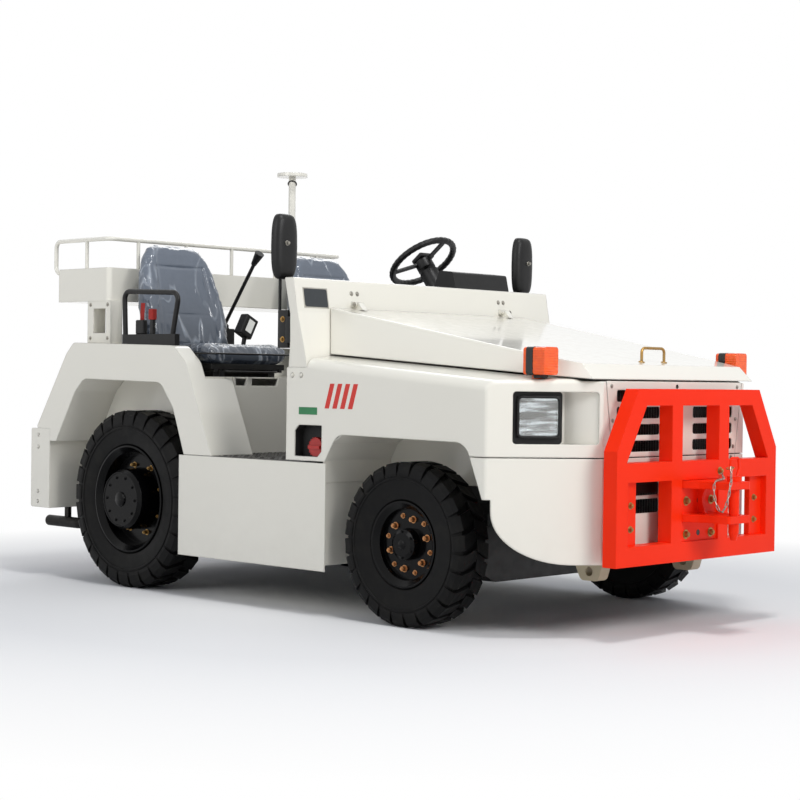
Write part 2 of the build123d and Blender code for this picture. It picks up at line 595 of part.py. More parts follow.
# Rear fenders, rear body and seat base
FENDER_INNER = 600
FENDER_OUTER_LINE = [(-2490, 733, 10), (-2249, 1099, 60), (-2189, 1156, 40), (-1429, 1140, 60),
                     (-1338, 1065, 90), (-1155, FLOOR_TOP)]
FENDER_ARCH_LINE = [(-1345, FLOOR_TOP), (-1425, 855, 60), (-1519, 971, 60), (-2103, 982, 60),
                    (-2174, 919, 60), (-2326, 673), (-2376, 673), (-2376, 733)]
SEAT_BASE_TOP = 1000
SEAT_DECK = 8
SEAT_SIDE = 760
rear_fender = side_plate(FENDER_OUTER_LINE + FENDER_ARCH_LINE, (FENDER_INNER, HALF_WIDTH))
seat_room = block((-1955, -1100), (FENDER_INNER - 10, SEAT_SIDE), (SEAT_BASE_TOP - SEAT_DECK, 1200))
keep("rear_fenders", left_and_right(rear_fender - seat_room))

REAR_FACE = -2530
REAR_BOX_FRONT = -2376
REAR_BOX_LOW = 341
REAR_BOX_TOP = 733
rear_box = side_plate([(REAR_FACE, REAR_BOX_LOW, 12), (REAR_BOX_FRONT, REAR_BOX_LOW),
                       (REAR_BOX_FRONT, REAR_BOX_TOP), (REAR_FACE, REAR_BOX_TOP, 12)],
                      (-HALF_WIDTH, HALF_WIDTH))
lamp_pocket = block((REAR_FACE - 10, REAR_FACE + 40), (600, 780), (560, 680))
rear_box = without(rear_box, *left_and_right(lamp_pocket))
DECK_LINE = [(-2490, REAR_BOX_TOP), (-2249, 1099), (-2189, 1156), (-1955, 1151), (-1950, 1000)]
deck = side_plate(band(DECK_LINE, SHEET), (-FENDER_INNER, FENDER_INNER))
side_wall = side_plate([(REAR_BOX_FRONT, 560), (REAR_BOX_FRONT, REAR_BOX_TOP), (-2477, REAR_BOX_TOP),
                        (-2245, 1094), (-2187, 1150), (-1960, 1146), (-1955, 1000 - SEAT_DECK),
                        (SEAT_BASE_FRONT - 14, 1000 - SEAT_DECK),
                        (SEAT_BASE_FRONT - 14, 648), (-1345, 648), (-1345, 560)],
                       (FENDER_INNER - 8, FENDER_INNER))
keep("rear_body", joined(rear_box, deck, *left_and_right(side_wall)))

NOTCH_LOW = 960
seat_front = block((SEAT_BASE_FRONT - 14, SEAT_BASE_FRONT), (-FENDER_INNER + 8, FENDER_INNER - 8),
                   (FLOOR_TOP - 6, SEAT_BASE_TOP))
seat_deck = block((-1950, SEAT_BASE_FRONT - 14), (-SEAT_SIDE, SEAT_SIDE),
                  (SEAT_BASE_TOP - SEAT_DECK, SEAT_BASE_TOP))
seat_base = joined(seat_front, seat_deck)
for low, high in ((324, 483), (520, 582)):
    notch_corners = [(low, NOTCH_LOW), (high, NOTCH_LOW), (high, SEAT_BASE_TOP + 1),
                     (low - 18, SEAT_BASE_TOP + 1)]
    notch = cross_plate(notch_corners, (SEAT_BASE_FRONT - 20, SEAT_BASE_FRONT + 10))
    seat_base = without(seat_base, *left_and_right(notch))
keep("seat_base", seat_base)

# Front guard: a flat frame of steel plate edges
GUARD_FRONT = 871
GUARD_REAR = 808
GUARD_OUTLINE = [(-560, 291), (560, 291), (560, 736), (425, 976, 6), (-425, 976, 6), (-560, 736)]
# openings: y and z corners, right-hand half and middle
GUARD_OPENINGS = [
    [(200, 690), (498, 690), (372, 911), (200, 911)],
    [(200, 368), (487, 368), (487, 615), (200, 615)],
]
guard = cross_plate(GUARD_OUTLINE, (GUARD_REAR, GUARD_FRONT))
for corners in GUARD_OPENINGS:
    hole = cross_plate(corners, (GUARD_REAR - 10, GUARD_FRONT + 10))
    guard = without(guard, *left_and_right(hole))
for low, high in ((690, 911), (368, 615)):
    guard = guard - block((GUARD_REAR - 10, GUARD_FRONT + 10), (-129, 129), (low, high))
for low, high in ((300, 360), (622, 682)):
    spacer = block((GRILLE_X, GUARD_REAR), (140, 186), (low, high))
    guard = joined(guard, *left_and_right(spacer))
keep("front_guard", guard)

# Front hitch
HITCH_PLATE_FRONT = 862
HITCH_PLATE_REAR = 846
CLEVIS_THICKNESS = 30
CLEVIS_UPPER = 582
CLEVIS_LOWER = 448
PIN_X = 1030
PIN_RADIUS = 21
PIN_HOLE_RADIUS = 23
hitch_plate = block((HITCH_PLATE_REAR, HITCH_PLATE_FRONT), (-129, 129), (368, 615))
clevis_outline = [(HITCH_PLATE_FRONT, -118), (930, -96), (TIP_FRONT, -75, 14), (TIP_FRONT, 75, 14),
                  (930, 96), (HITCH_PLATE_FRONT, 118)]
upper_plate = level_plate(clevis_outline, (CLEVIS_UPPER, CLEVIS_UPPER + CLEVIS_THICKNESS))
lower_plate = level_plate(clevis_outline, (CLEVIS_LOWER, CLEVIS_LOWER + CLEVIS_THICKNESS))
gap_floor = CLEVIS_LOWER + CLEVIS_THICKNESS
clevis_rib = side_plate([(HITCH_PLATE_FRONT, gap_floor), (900, gap_floor), (885, gap_floor + 42),
                         (885, CLEVIS_UPPER - 37), (900, CLEVIS_UPPER), (HITCH_PLATE_FRONT, CLEVIS_UPPER)],
                        (-8, 8))
pin_hole = rod((PIN_X, 0, 400), (PIN_X, 0, 640), PIN_HOLE_RADIUS)
hitch = joined(hitch_plate, upper_plate, lower_plate, clevis_rib) - pin_hole
keep("front_hitch", hitch, left_and_right(block((820, 844), (400, 487), (368, 615))))

handle_loop = bent_rod([(PIN_X, -14, 630), (PIN_X, -32, 665), (PIN_X, -26, 706), (PIN_X, 26, 706),
                        (PIN_X, 32, 665), (PIN_X, 14, 630)], 10, 5)
pin_body = rod((PIN_X, 0, 412), (PIN_X, 0, 626), PIN_RADIUS)
pin_tip = Pos(PIN_X, 0, 396) * Cone(12, PIN_RADIUS, 32)
pin_head = rod((PIN_X, 0, CLEVIS_UPPER + CLEVIS_THICKNESS), (PIN_X, 0, 634), 29)
keep("hitch_pin", joined(pin_body, pin_tip, pin_head, handle_loop))

# Rear hitch: two plates with a pin, as on the front
rear_plate = block((REAR_FACE - 16, REAR_FACE), (-110, 110), (350, 560))
rear_lip = [(REAR_FACE - 16, -90), (TIP_REAR, -62, 14), (TIP_REAR, 62, 14), (REAR_FACE - 16, 90)]
rear_upper = level_plate(rear_lip, (500, 525))
rear_lower = level_plate(rear_lip, (385, 410))
rear_pin = joined(rod((TIP_REAR + 40, 0, 350), (TIP_REAR + 40, 0, 575), 19),
                  rod((TIP_REAR + 40, 0, 525), (TIP_REAR + 40, 0, 540), 28))
rear_bore = rod((TIP_REAR + 40, 0, 300), (TIP_REAR + 40, 0, 600), 21)
keep("rear_hitch", joined(rear_plate, rear_upper, rear_lower) - rear_bore)
keep("rear_hitch_pin", rear_pin)

# Luggage tray behind the seats with its posts and rail
TRAY_FRONT = -2002
TRAY_REAR = -2404
TRAY_HALF = 785
TRAY_LOW = 1357
TRAY_TOP = 1519
TRAY_WALL = 18
tray = block((TRAY_REAR, TRAY_FRONT), (-TRAY_HALF, TRAY_HALF), (TRAY_LOW, TRAY_TOP))
tray = fillet([edge for edge in tray.edges().filter_by(Axis.Z) if edge.center().X > -2100], 24)
tray_hollow = block((TRAY_REAR + TRAY_WALL, TRAY_FRONT - TRAY_WALL),
                    (-TRAY_HALF + TRAY_WALL, TRAY_HALF - TRAY_WALL), (TRAY_LOW + 6, TRAY_TOP + 10))
tray = tray - tray_hollow
PILLAR_X = (-2168, -1988)
fender_tops = [1156 - (x + 2189) * 16 / 760 for x in PILLAR_X]
pillar = side_plate([(PILLAR_X[0], fender_tops[0]), (PILLAR_X[1], fender_tops[1]),
                     (PILLAR_X[1], TRAY_LOW + 2), (PILLAR_X[0], TRAY_LOW + 2)], (711, 783))
pillar_window = block((-2121, -2022), (700, 800), (1203, 1321))
pillar = pillar - pillar_window
keep("luggage_tray", joined(tray, *left_and_right(pillar)))

RAIL_TUBE = 10.5
RAIL_TOP = 1658
RAIL_FRONT_X = TRAY_FRONT - TRAY_WALL / 2
RAIL_HALF = TRAY_HALF - TRAY_WALL / 2
RAIL_REAR_X = -2440
rail_loop = bent_rod([(TRAY_REAR, -RAIL_HALF, 1500), (RAIL_REAR_X, -RAIL_HALF, 1500),
                      (RAIL_REAR_X, -RAIL_HALF, RAIL_TOP), (RAIL_FRONT_X, -RAIL_HALF, RAIL_TOP),
                      (RAIL_FRONT_X, RAIL_HALF, RAIL_TOP), (RAIL_REAR_X, RAIL_HALF, RAIL_TOP),
                      (RAIL_REAR_X, RAIL_HALF, 1500), (TRAY_REAR, RAIL_HALF, 1500)], 34, RAIL_TUBE)
posts = []
for y in (-600, -300, 0, 300, 600):
    posts.append(rod((RAIL_FRONT_X, y, TRAY_TOP), (RAIL_FRONT_X, y, RAIL_TOP), 9))
for y in (-RAIL_HALF, RAIL_HALF):
    posts.append(rod((-2188, y, TRAY_TOP), (-2188, y, RAIL_TOP), 9))
keep("guard_rail", joined(rail_loop, *posts))

MAST_Y = 447
MAST_RADIUS = 19
MAST_X = TRAY_FRONT - TRAY_WALL - MAST_RADIUS - 4
MAST_TOP = 2063
mast = rod((MAST_X, MAST_Y, TRAY_LOW + 6), (MAST_X, MAST_Y, MAST_TOP), MAST_RADIUS)
mast_plate = rod((MAST_X, MAST_Y, MAST_TOP), (MAST_X, MAST_Y, MAST_TOP + 18), 81)
keep("beacon_mast", joined(mast, mast_plate))

# Seats: frames, cushions and backs
FRAME_LOW = SEAT_BASE_TOP
CUSHION_LOW = 1060
CUSHION_TOP = 1160
CUSHION_HALF = 262
CUSHION_X = (-1706, -1292)
BACK_HALF = 262
BACK_TOP_HALF = 180
BACK_THICKNESS = 105


def seat_frame(y):
    """Black rails and pan under one cushion, with the upright behind the back."""
    pan = block((CUSHION_X[0], CUSHION_X[1] - 30), (y - 225, y + 225), (CUSHION_LOW - 26, CUSHION_LOW))
    runners = [block((CUSHION_X[0] + 40, CUSHION_X[1] - 60), (y + place - 20, y + place + 20),
                     (FRAME_LOW, CUSHION_LOW - 26)) for place in (-170, 170)]
    strip = side_plate([(-1690, CUSHION_LOW - 26), (-1837, CUSHION_LOW - 26), (-1837, 1070),
                        (-1935, 1480), (-1917.6, 1480), (-1813.6, 1076), (-1700, 1058)], (y - 40, y + 40))
    return joined(pan, *runners, strip)


keep("seat_frames", seat_frame(SEAT_Y), seat_frame(-SEAT_Y))


def cushion(y):
    """Plain block of one seat cushion with rounded corners."""
    solid = block(CUSHION_X, (y - CUSHION_HALF, y + CUSHION_HALF), (CUSHION_LOW, CUSHION_TOP))
    solid = fillet(solid.edges().filter_by(Axis.Z), 70)
    return fillet(solid.faces().sort_by(Axis.Z)[-1].edges(), 30)


BACK_FOOT = (-1710, 1105)
BACK_LEAN = degrees(atan2(130, 494))
BACK_HEIGHT = 550


def seat_back(y):
    """Plain block of one seat back, wide at the hips and narrower at the shoulders."""
    corners = [(-BACK_HALF, 0, 40), (BACK_HALF, 0, 40), (BACK_HALF, 300, 120),
               (BACK_TOP_HALF, BACK_HEIGHT, 70), (-BACK_TOP_HALF, BACK_HEIGHT, 70), (-BACK_HALF, 300, 120)]
    solid = cross_plate(corners, (-BACK_THICKNESS, 0))
    solid = fillet(solid.faces().sort_by(Axis.X)[-1].edges(), 26)
    return Pos(BACK_FOOT[0], y, BACK_FOOT[1]) * Rot(0, -BACK_LEAN, 0) * solid


keep("seat_cushions", cushion(SEAT_Y), cushion(-SEAT_Y))
keep("seat_backs", seat_back(SEAT_Y), seat_back(-SEAT_Y))

# Arm rests on the fender tops
ARM_Y = 800
arm_plate = block((-1853, -1462), (ARM_Y - 14, ARM_Y + 14), (1136, 1194))
arm_loop = bent_rod([(-1846, ARM_Y, 1190), (-1856, ARM_Y, 1398), (-1451, ARM_Y, 1384), (-1495, ARM_Y, 1190)],
                    36, 12)
keep("arm_rests", left_and_right(joined(arm_plate, arm_loop) - rear_fender))

# Mirrors on stalks behind the cowl ends
MIRROR_X = -754
MIRROR_Y = 800
MIRROR_HALF = 66
MIRROR_LOW = 1425
MIRROR_TOP = 1707
head = cross_plate([(MIRROR_Y - MIRROR_HALF, MIRROR_LOW, 26), (MIRROR_Y + MIRROR_HALF, MIRROR_LOW, 26),
                    (MIRROR_Y + MIRROR_HALF, MIRROR_TOP, 26), (MIRROR_Y - MIRROR_HALF, MIRROR_TOP, 26)],
                   (MIRROR_X - 2, MIRROR_X + 40))
head = fillet(head.faces().sort_by(Axis.X)[-1].edges(), 16)
stalk = bent_rod([(MIRROR_X - 14, MIRROR_Y, 1150), (MIRROR_X - 14, MIRROR_Y, 1583),
                  (MIRROR_X + 10, MIRROR_Y, 1583)], 8, 7)
bracket = block((-768, -704), (MIRROR_Y - 12, MIRROR_Y + 12), (1128, 1292))
bracket_arm = block((-706, -630), (MIRROR_Y - 12, HALF_WIDTH), (1150, 1262))
keep("mirrors", left_and_right(joined(head, stalk, bracket, bracket_arm) - cowl_solid))

# Lamps
SIGNAL_X = 574
SIGNAL_Y = 662
SIGNAL_LOW = 1025
SIGNAL_TOP = 1133
SIGNAL_HALF_LENGTH = 52
SIGNAL_HALF_WIDTH = 43


def turn_signal():
    """Double-faced flasher standing on the left shoulder."""
    corners = [(SIGNAL_Y - SIGNAL_HALF_WIDTH, SIGNAL_LOW, 14), (SIGNAL_Y + SIGNAL_HALF_WIDTH, SIGNAL_LOW, 14),
               (SIGNAL_Y + SIGNAL_HALF_WIDTH, SIGNAL_TOP, 14), (SIGNAL_Y - SIGNAL_HALF_WIDTH, SIGNAL_TOP, 14)]
    body = cross_plate(corners, (SIGNAL_X - SIGNAL_HALF_LENGTH, SIGNAL_X + SIGNAL_HALF_LENGTH))
    foot = block((SIGNAL_X - 30, SIGNAL_X - 2), (SIGNAL_Y - 14, SIGNAL_Y + 14), (1002, SIGNAL_LOW + 2))
    return joined(body, foot) - front_hull(0)


keep("turn_signals", left_and_right(turn_signal()))

lamp_shell = rounded_block((LAMP[0] - 24, LAMP[1] + 16), (LAMP_DEPTH - 8, RECESS_DEPTH - 4),
                           (RECESS_HEIGHT[0], RECESS_HEIGHT[1]), 14)
lamp_lens = rounded_block(LAMP, (LAMP_DEPTH - 22, LAMP_DEPTH - 8), LAMP_HEIGHT, 20)
keep("headlight_housings", left_and_right(lamp_shell - recess_box))
keep("headlight_lenses", left_and_right(lamp_lens))

rear_lamp = block((REAR_FACE - 6, REAR_FACE + 40), (604, 776), (564, 676))
keep("rear_lamps", left_and_right(rear_lamp))

# Exhaust, filler cap, lever and pedals
EXHAUST_Y = -700
exhaust = bent_rod([(-2000, -560, 330), (-2225, -560, 330), (-2310, EXHAUST_Y, 262),
                    (-2580, EXHAUST_Y, 262)], 50, 27)
exhaust_bore = rod((-2590, EXHAUST_Y, 262), (-2400, EXHAUST_Y, 262), 24)
hanger = block((-2440, -2410), (EXHAUST_Y - 10, EXHAUST_Y + 10), (285, REAR_BOX_LOW))
keep("exhaust_pipe", joined(exhaust - exhaust_bore, hanger))

CAP_X = -497
CAP_Z = 709
cap = rod((CAP_X, -HALF_WIDTH + FILLER_DEPTH - 4, CAP_Z), (CAP_X, -HALF_WIDTH + 14, CAP_Z), 40)
cap_grip = block((CAP_X - 34, CAP_X + 34), (-HALF_WIDTH + 2, -HALF_WIDTH + 16), (CAP_Z - 7, CAP_Z + 7))
keep("filler_cap", joined(cap, cap_grip))

LEVER_Y = -160
grip = Pos(-1640, LEVER_Y, 1580) * Rot(0, degrees(atan2(340, 400)), 0) * Cone(13, 24, 70)
lever_box = block((-1949, -1850), (LEVER_Y - 45, LEVER_Y + 45), (SEAT_BASE_TOP, 1240))
keep("hand_lever", joined(rod((-1895, LEVER_Y, 1230), (-1640, LEVER_Y, 1580), 9), grip, lever_box))

# Dash, column and steering wheel
dash = side_plate([(-790, 1429), (-690, 1429), (-650, 1429), (-668, 1506, 14), (-756, 1516, 14)], (205, 590))
keep("instrument_binnacle", dash)

tilt = radians(STEERING_TILT)
wheel_centre = Vector(-1057, STEERING_Y, 1578)
wheel_axis = Vector(-sin(tilt), 0, cos(tilt))
WHEEL_RADIUS = 165
WHEEL_TUBE = 14
HUB_DROP = 40
column_top = wheel_centre - wheel_axis * (HUB_DROP + 26)
column_foot = wheel_centre - wheel_axis * 690
column_stay = block((-660, FIREWALL_X), (STEERING_Y - 30, STEERING_Y + 30), (1000, 1040))
column_tube = rod(column_foot, column_top, 26)
shroud = rod(wheel_centre - wheel_axis * 260, column_top, 46)
shaft_stub = rod(column_top - wheel_axis * 2, wheel_centre - wheel_axis * 14, 11)
keep("steering_column", joined(column_tube, shroud, shaft_stub, column_stay))

wheel_plane = Plane(origin=wheel_centre, x_dir=(0, 1, 0), z_dir=wheel_axis)
ring = wheel_plane * Torus(WHEEL_RADIUS, WHEEL_TUBE)
hub = wheel_plane * Pos(0, 0, -24) * (Cylinder(44, 48) - Cylinder(11.1, 60))
cover = wheel_plane * Pos(0, 0, 4) * Cylinder(40, 12)
spokes = []
for angle in (-90, 30, 150):
    spoke = wheel_plane * Rot(0, 0, angle) * Pos(WHEEL_RADIUS / 2 + 16, 0, -10) * Box(WHEEL_RADIUS - 40, 26, 9)
    spokes.append(spoke)
keep("steering_wheel", joined(ring, hub, cover, *spokes))

pedal_plates = []
for y, width in ((330, 56), (480, 56), (560, 42)):
    pad = block((-740, -726), (y - width / 2, y + width / 2), (760, 850))
    arm = block((-726, FIREWALL_X), (y - 9, y + 9), (796, 814))
    pedal_plates.append(joined(pad, arm))
keep("pedals", *pedal_plates)

for name, solids in nodes.items():
    whole = Compound(children=[Pos(SHIFT, 0, 0) * solid for solid in solids])
    if len(solids) == 1:
        whole = Pos(SHIFT, 0, 0) * solids[0]
    export_step(whole, f"parts/{name}.step")
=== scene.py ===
from math import atan2, copysign, cos, pi, radians, sin

import bmesh
import bpy
import numpy as np
from mathutils import Matrix, Vector


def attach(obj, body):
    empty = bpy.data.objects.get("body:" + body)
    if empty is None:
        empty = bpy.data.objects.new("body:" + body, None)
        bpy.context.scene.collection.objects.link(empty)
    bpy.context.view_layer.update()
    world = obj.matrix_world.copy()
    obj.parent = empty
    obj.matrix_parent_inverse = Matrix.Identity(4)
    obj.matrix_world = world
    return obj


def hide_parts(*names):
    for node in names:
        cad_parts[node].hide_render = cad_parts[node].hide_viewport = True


bl_info = {
    "name": "Airport Baggage Tug",
    "version": (1, 0, 0),
    "blender": (4, 5, 0),
    "location": "View3D > Sidebar > Tug",
    "description": "Dresses the packed baggage tug with paint, tyres, seats, fasteners and lamps",
    "category": "Object",
}

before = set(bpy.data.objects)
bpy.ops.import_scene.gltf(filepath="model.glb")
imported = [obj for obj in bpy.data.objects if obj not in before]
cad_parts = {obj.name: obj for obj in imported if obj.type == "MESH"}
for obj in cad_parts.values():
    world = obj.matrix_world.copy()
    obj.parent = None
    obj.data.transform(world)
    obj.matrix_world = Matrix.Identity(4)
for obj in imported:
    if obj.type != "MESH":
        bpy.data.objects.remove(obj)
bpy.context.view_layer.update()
MM = 0.001
# how far the front axle stands ahead of the frame's origin, in metres
AXLE_X = 0.791
SIDES = {"left": 1, "right": -1}


class TugColours(bpy.types.PropertyGroup):
    """Colours of the paint, plastics and upholstery as sRGB hex values."""

    body: bpy.props.StringProperty(
        name="Body paint", description="Ivory white enamel of the sheet metal", default="#E6E3D8")
    guard: bpy.props.StringProperty(
        name="Guard paint", description="Orange red enamel of guard and hitch", default="#F5300F")
    chassis: bpy.props.StringProperty(
        name="Chassis paint", description="Black enamel of frame and axles", default="#0C0C0C")
    vinyl: bpy.props.StringProperty(
        name="Seat vinyl", description="Blue grey coated cloth of the seats", default="#586270")
    rubber: bpy.props.StringProperty(
        name="Tyre rubber", description="Carbon black rubber", default="#0A0A0B")
    amber: bpy.props.StringProperty(
        name="Amber lens", description="Acrylic of the turn signals", default="#FC5E05")
    floor: bpy.props.StringProperty(
        name="Studio floor", description="Pale floor under the tug", default="#E9E9E9")


class TugSizes(bpy.types.PropertyGroup):
    """Sizes of the pieces that dress the model."""

    front_lugs: bpy.props.IntProperty(
        name="Front lugs", description="Tread bars on each side of a front tyre", default=26, min=8, max=60)
    rear_lugs: bpy.props.IntProperty(
        name="Rear lugs", description="Tread bars on each side of a rear tyre", default=28, min=8, max=60)
    groove_depth: bpy.props.FloatProperty(
        name="Groove depth", description="Height of the tread bars", default=0.015, unit="LENGTH")
    plate_pitch: bpy.props.FloatProperty(
        name="Tread plate pitch", description="Distance between the floor's raised bars", default=0.032,
        unit="LENGTH")
    pad_cap: bpy.props.FloatProperty(
        name="Pad swelling", description="Most that a seat pad may swell", default=0.014, unit="LENGTH")
    camera_lens: bpy.props.FloatProperty(
        name="Camera lens", description="Focal length for a 36 mm sensor", default=80.65, unit="CAMERA")


# Materials

# node kinds: type, settings, the inputs that values go to in their order, the output given back
MIX = ("ShaderNodeMix", {"data_type": "RGBA"}, (0, 6, 7), 2)
RANGE = ("ShaderNodeMapRange", {}, range(5), 0)
NOISE = ("ShaderNodeTexNoise", {}, ("Vector", "Scale", "Detail", "Roughness"), "Fac")
WAVE = ("ShaderNodeTexWave", {}, ("Vector", "Scale"), "Fac")
BUMP = ("ShaderNodeBump", {}, ("Height", "Distance", "Normal", "Strength"), 0)
BEVEL = ("ShaderNodeBevel", {"samples": 4}, ("Radius",), 0)
PLACE = ("ShaderNodeTexCoord", {}, (), "Object")
AXIS = ("ShaderNodeSeparateXYZ", {}, ("Vector",), "Z")
VECTOR = "ShaderNodeVectorMath"
# millimetres from one band of a wave texture to the next at scale 1
WAVE_MM = 314.159


def linear(colour):
    """sRGB hex to linear RGBA."""
    values = [int(colour[start:start + 2], 16) / 255 for start in (1, 3, 5)]
    return [v / 12.92 if v <= 0.04045 else ((v + 0.055) / 1.055) ** 2.4 for v in values] + [1.0]


def plug(tree, node, sockets):
    """Links every input that is given as another node's output, writes the others and skips None."""
    for key, value in sockets.items():
        if isinstance(value, bpy.types.NodeSocket):
            tree.links.new(value, node.inputs[key])
        elif value is not None:
            node.inputs[key].default_value = value


def add(tree, kind, *values, out=None, **settings):
    """Adds a node and gives back an output; kind is a node kind, a node's type or a math operation."""
    if isinstance(kind, str):
        math = {} if "Node" in kind else {"operation": kind}
        kind = ("ShaderNodeMath" if math else kind, math, range(9), 0)
    name, preset, inputs, given = kind
    node = tree.nodes.new(name)
    for key, value in {**preset, **settings}.items():
        setattr(node, key, value)
    plug(tree, node, dict(zip(inputs, values)))
    return node.outputs[given if out is None else out]


def patches(tree, place, size, low, high, to_low=0.0, to_high=1.0, detail=3.0, roughness=0.55):
    """Soft patches about size mm across: noise from low to high spread over another range."""
    blots = add(tree, NOISE, place, 1000 / size, detail, roughness)
    return add(tree, RANGE, blots, low, high, to_low, to_high)


def weathered(tree, colour, roughness, swing=0.05, blotch=None, grain=None, edge=None, dust=None,
              rounding=0.0, pattern=None, **sockets):
    """Turns a new material's tree into a procedural finish.

    swing: how far roughness wanders. blotch: second colour, size in mm and share.
    grain: bump size in mm and its height in mm. edge: colour that shows on worn corners and its share.
    dust: colour, height in metres up to which it lies, and share. rounding: corner radius in metres.
    pattern: function of tree, place, colour, normal and shader that adds more and returns colour and normal.
    """
    shader = tree.nodes["Principled BSDF"]
    place = add(tree, PLACE)
    base = linear(colour)
    normal = corner = None
    if rounding:
        normal = corner = add(tree, BEVEL, rounding)
    if blotch:
        second, size, share = blotch
        base = add(tree, MIX, patches(tree, place, size, 0.3, 0.7, 0.0, share), base, linear(second))
    if dust:
        dirt, height, share = dust
        lift = add(tree, RANGE, add(tree, AXIS, place), 0.0, height, share, 0.0)
        blots = patches(tree, place, 60, 0.3, 0.75, detail=6.0)
        base = add(tree, MIX, add(tree, "MULTIPLY", lift, blots, use_clamp=True), base, linear(dirt))
    if edge:
        bare, share = edge
        flat = add(tree, "ShaderNodeNewGeometry", out="Normal")
        soft = corner or add(tree, BEVEL, 0.003)
        along = add(tree, VECTOR, flat, soft, out="Value", operation="DOT_PRODUCT")
        worn = add(tree, RANGE, along, 0.995, 0.93)
        rub = add(tree, "MULTIPLY", worn, patches(tree, place, 12, 0.5, 0.62, detail=6.0), use_clamp=True)
        base = add(tree, MIX, add(tree, "MULTIPLY", rub, share), base, linear(bare))
    gloss = patches(tree, place, 35, 0.25, 0.75, roughness - swing, roughness + swing, 5.0)
    if grain:
        size, height = grain
        normal = add(tree, BUMP, add(tree, NOISE, place, 1000 / size, 2.0, 0.55), height * MM, normal)
    if pattern:
        base, normal = pattern(tree, place, base, normal, shader)
    plug(tree, shader, {"Base Color": base, "Roughness": gloss, "Normal": normal})
    plug(tree, shader, {key.replace("_", " "): value for key, value in sockets.items()})


def film_wrinkles_painted_light(tree, place, base, normal, shader):
    """Loose clear film over vinyl: long pale creases that glint, their pale a painted highlight; low down,
    painted shade darkens the vinyl.
    """
    drift = add(tree, VECTOR, add(tree, NOISE, place, 4.0, 2.0, out="Color"), None, None, 0.07,
                operation="SCALE")
    bent = add(tree, VECTOR, place, drift, operation="ADD")
    long = add(tree, VECTOR, bent, (1.0, 1.0, 0.15), operation="MULTIPLY")
    # folds some 90 mm apart: the thin lines where the noise passes its middle
    fold = add(tree, NOISE, long, 11.0, 1.0)
    crease = add(tree, RANGE, add(tree, "ABSOLUTE", add(tree, "SUBTRACT", fold, 0.5)), 0.0, 0.035, 1.0, 0.0)
    plug(tree, shader, {"Coat Normal": add(tree, BUMP, crease, 5 * MM, None, 0.65)})
    # painted highlight: pale colour along the creases, in soft patches
    highlight_patches = patches(tree, place, 150, 0.38, 0.6)
    painted_crease_highlight = add(tree, "MULTIPLY", add(tree, "MULTIPLY", crease, highlight_patches), 0.46)
    # painted shade: the vinyl turns darker from 1.52 m down to 1.12 m
    shade = add(tree, RANGE, add(tree, AXIS, place), 1.12, 1.52, 0.72, 0.0)
    painted_low_shade = add(tree, MIX, shade, base, linear("#232C38"))
    return add(tree, MIX, painted_crease_highlight, painted_low_shade, linear("#C3CCD7")), normal


def radiator_fins(tree, place, base, normal, shader):
    """Upright tubes and level fins of a radiator core, drawn 18 and 8 mm apart so that they show."""
    tubes = add(tree, WAVE, place, WAVE_MM / 17.7563, bands_direction="Y")
    fins = add(tree, WAVE, place, WAVE_MM / 7.8917, bands_direction="Z")
    both = add(tree, "ADD", tubes, add(tree, "MULTIPLY", fins, 0.4))
    return base, add(tree, BUMP, both, 2 * MM, normal)


def tyre_dust(tree, place, base, normal, shader):
    """Grey bloom and dust that settles on a used tyre."""
    dusty = patches(tree, place, 90, 0.5, 0.8, 0.0, 0.14, 7.0, 0.65)
    return add(tree, MIX, dusty, base, linear("#3D3A34")), normal


def tow_eye_paint(tree, place, base, normal, shader):
    """The two towing eyes below the nose carry the body's ivory instead of chassis black."""
    ahead = add(tree, "GREATER_THAN", add(tree, AXIS, place, out="X"), 1.25)
    below = add(tree, "LESS_THAN", add(tree, AXIS, place), 0.2995)
    return add(tree, MIX, add(tree, "MULTIPLY", ahead, below), base, linear("#B9AD92")), normal


def painted_reflection_streaks(tree, place, base, normal, shader):
    """Painted reflection: level streaks of sky and ground that a fluted lens draws out of its bright bowl."""
    flat = add(tree, VECTOR, place, (4.0, 4.0, 26.0), operation="MULTIPLY")
    streak = add(tree, NOISE, flat, 2.0, 5.0)
    # painted reflection: dark ground and white sky streaks laid into the base colour
    painted_reflection = add(tree, MIX, add(tree, RANGE, streak, 0.4, 0.6), linear("#6E675C"), linear("#F4F5F4"))
    return painted_reflection, add(tree, BUMP, streak, 3 * MM, normal)


def lens_ribs(tree, place, base, normal, shader):
    """Moulded ribs inside a plastic lens, 10 mm apart."""
    ribs = add(tree, WAVE, place, WAVE_MM / 9.8646, bands_direction="Z")
    return base, add(tree, BUMP, ribs, 0.8 * MM, normal)


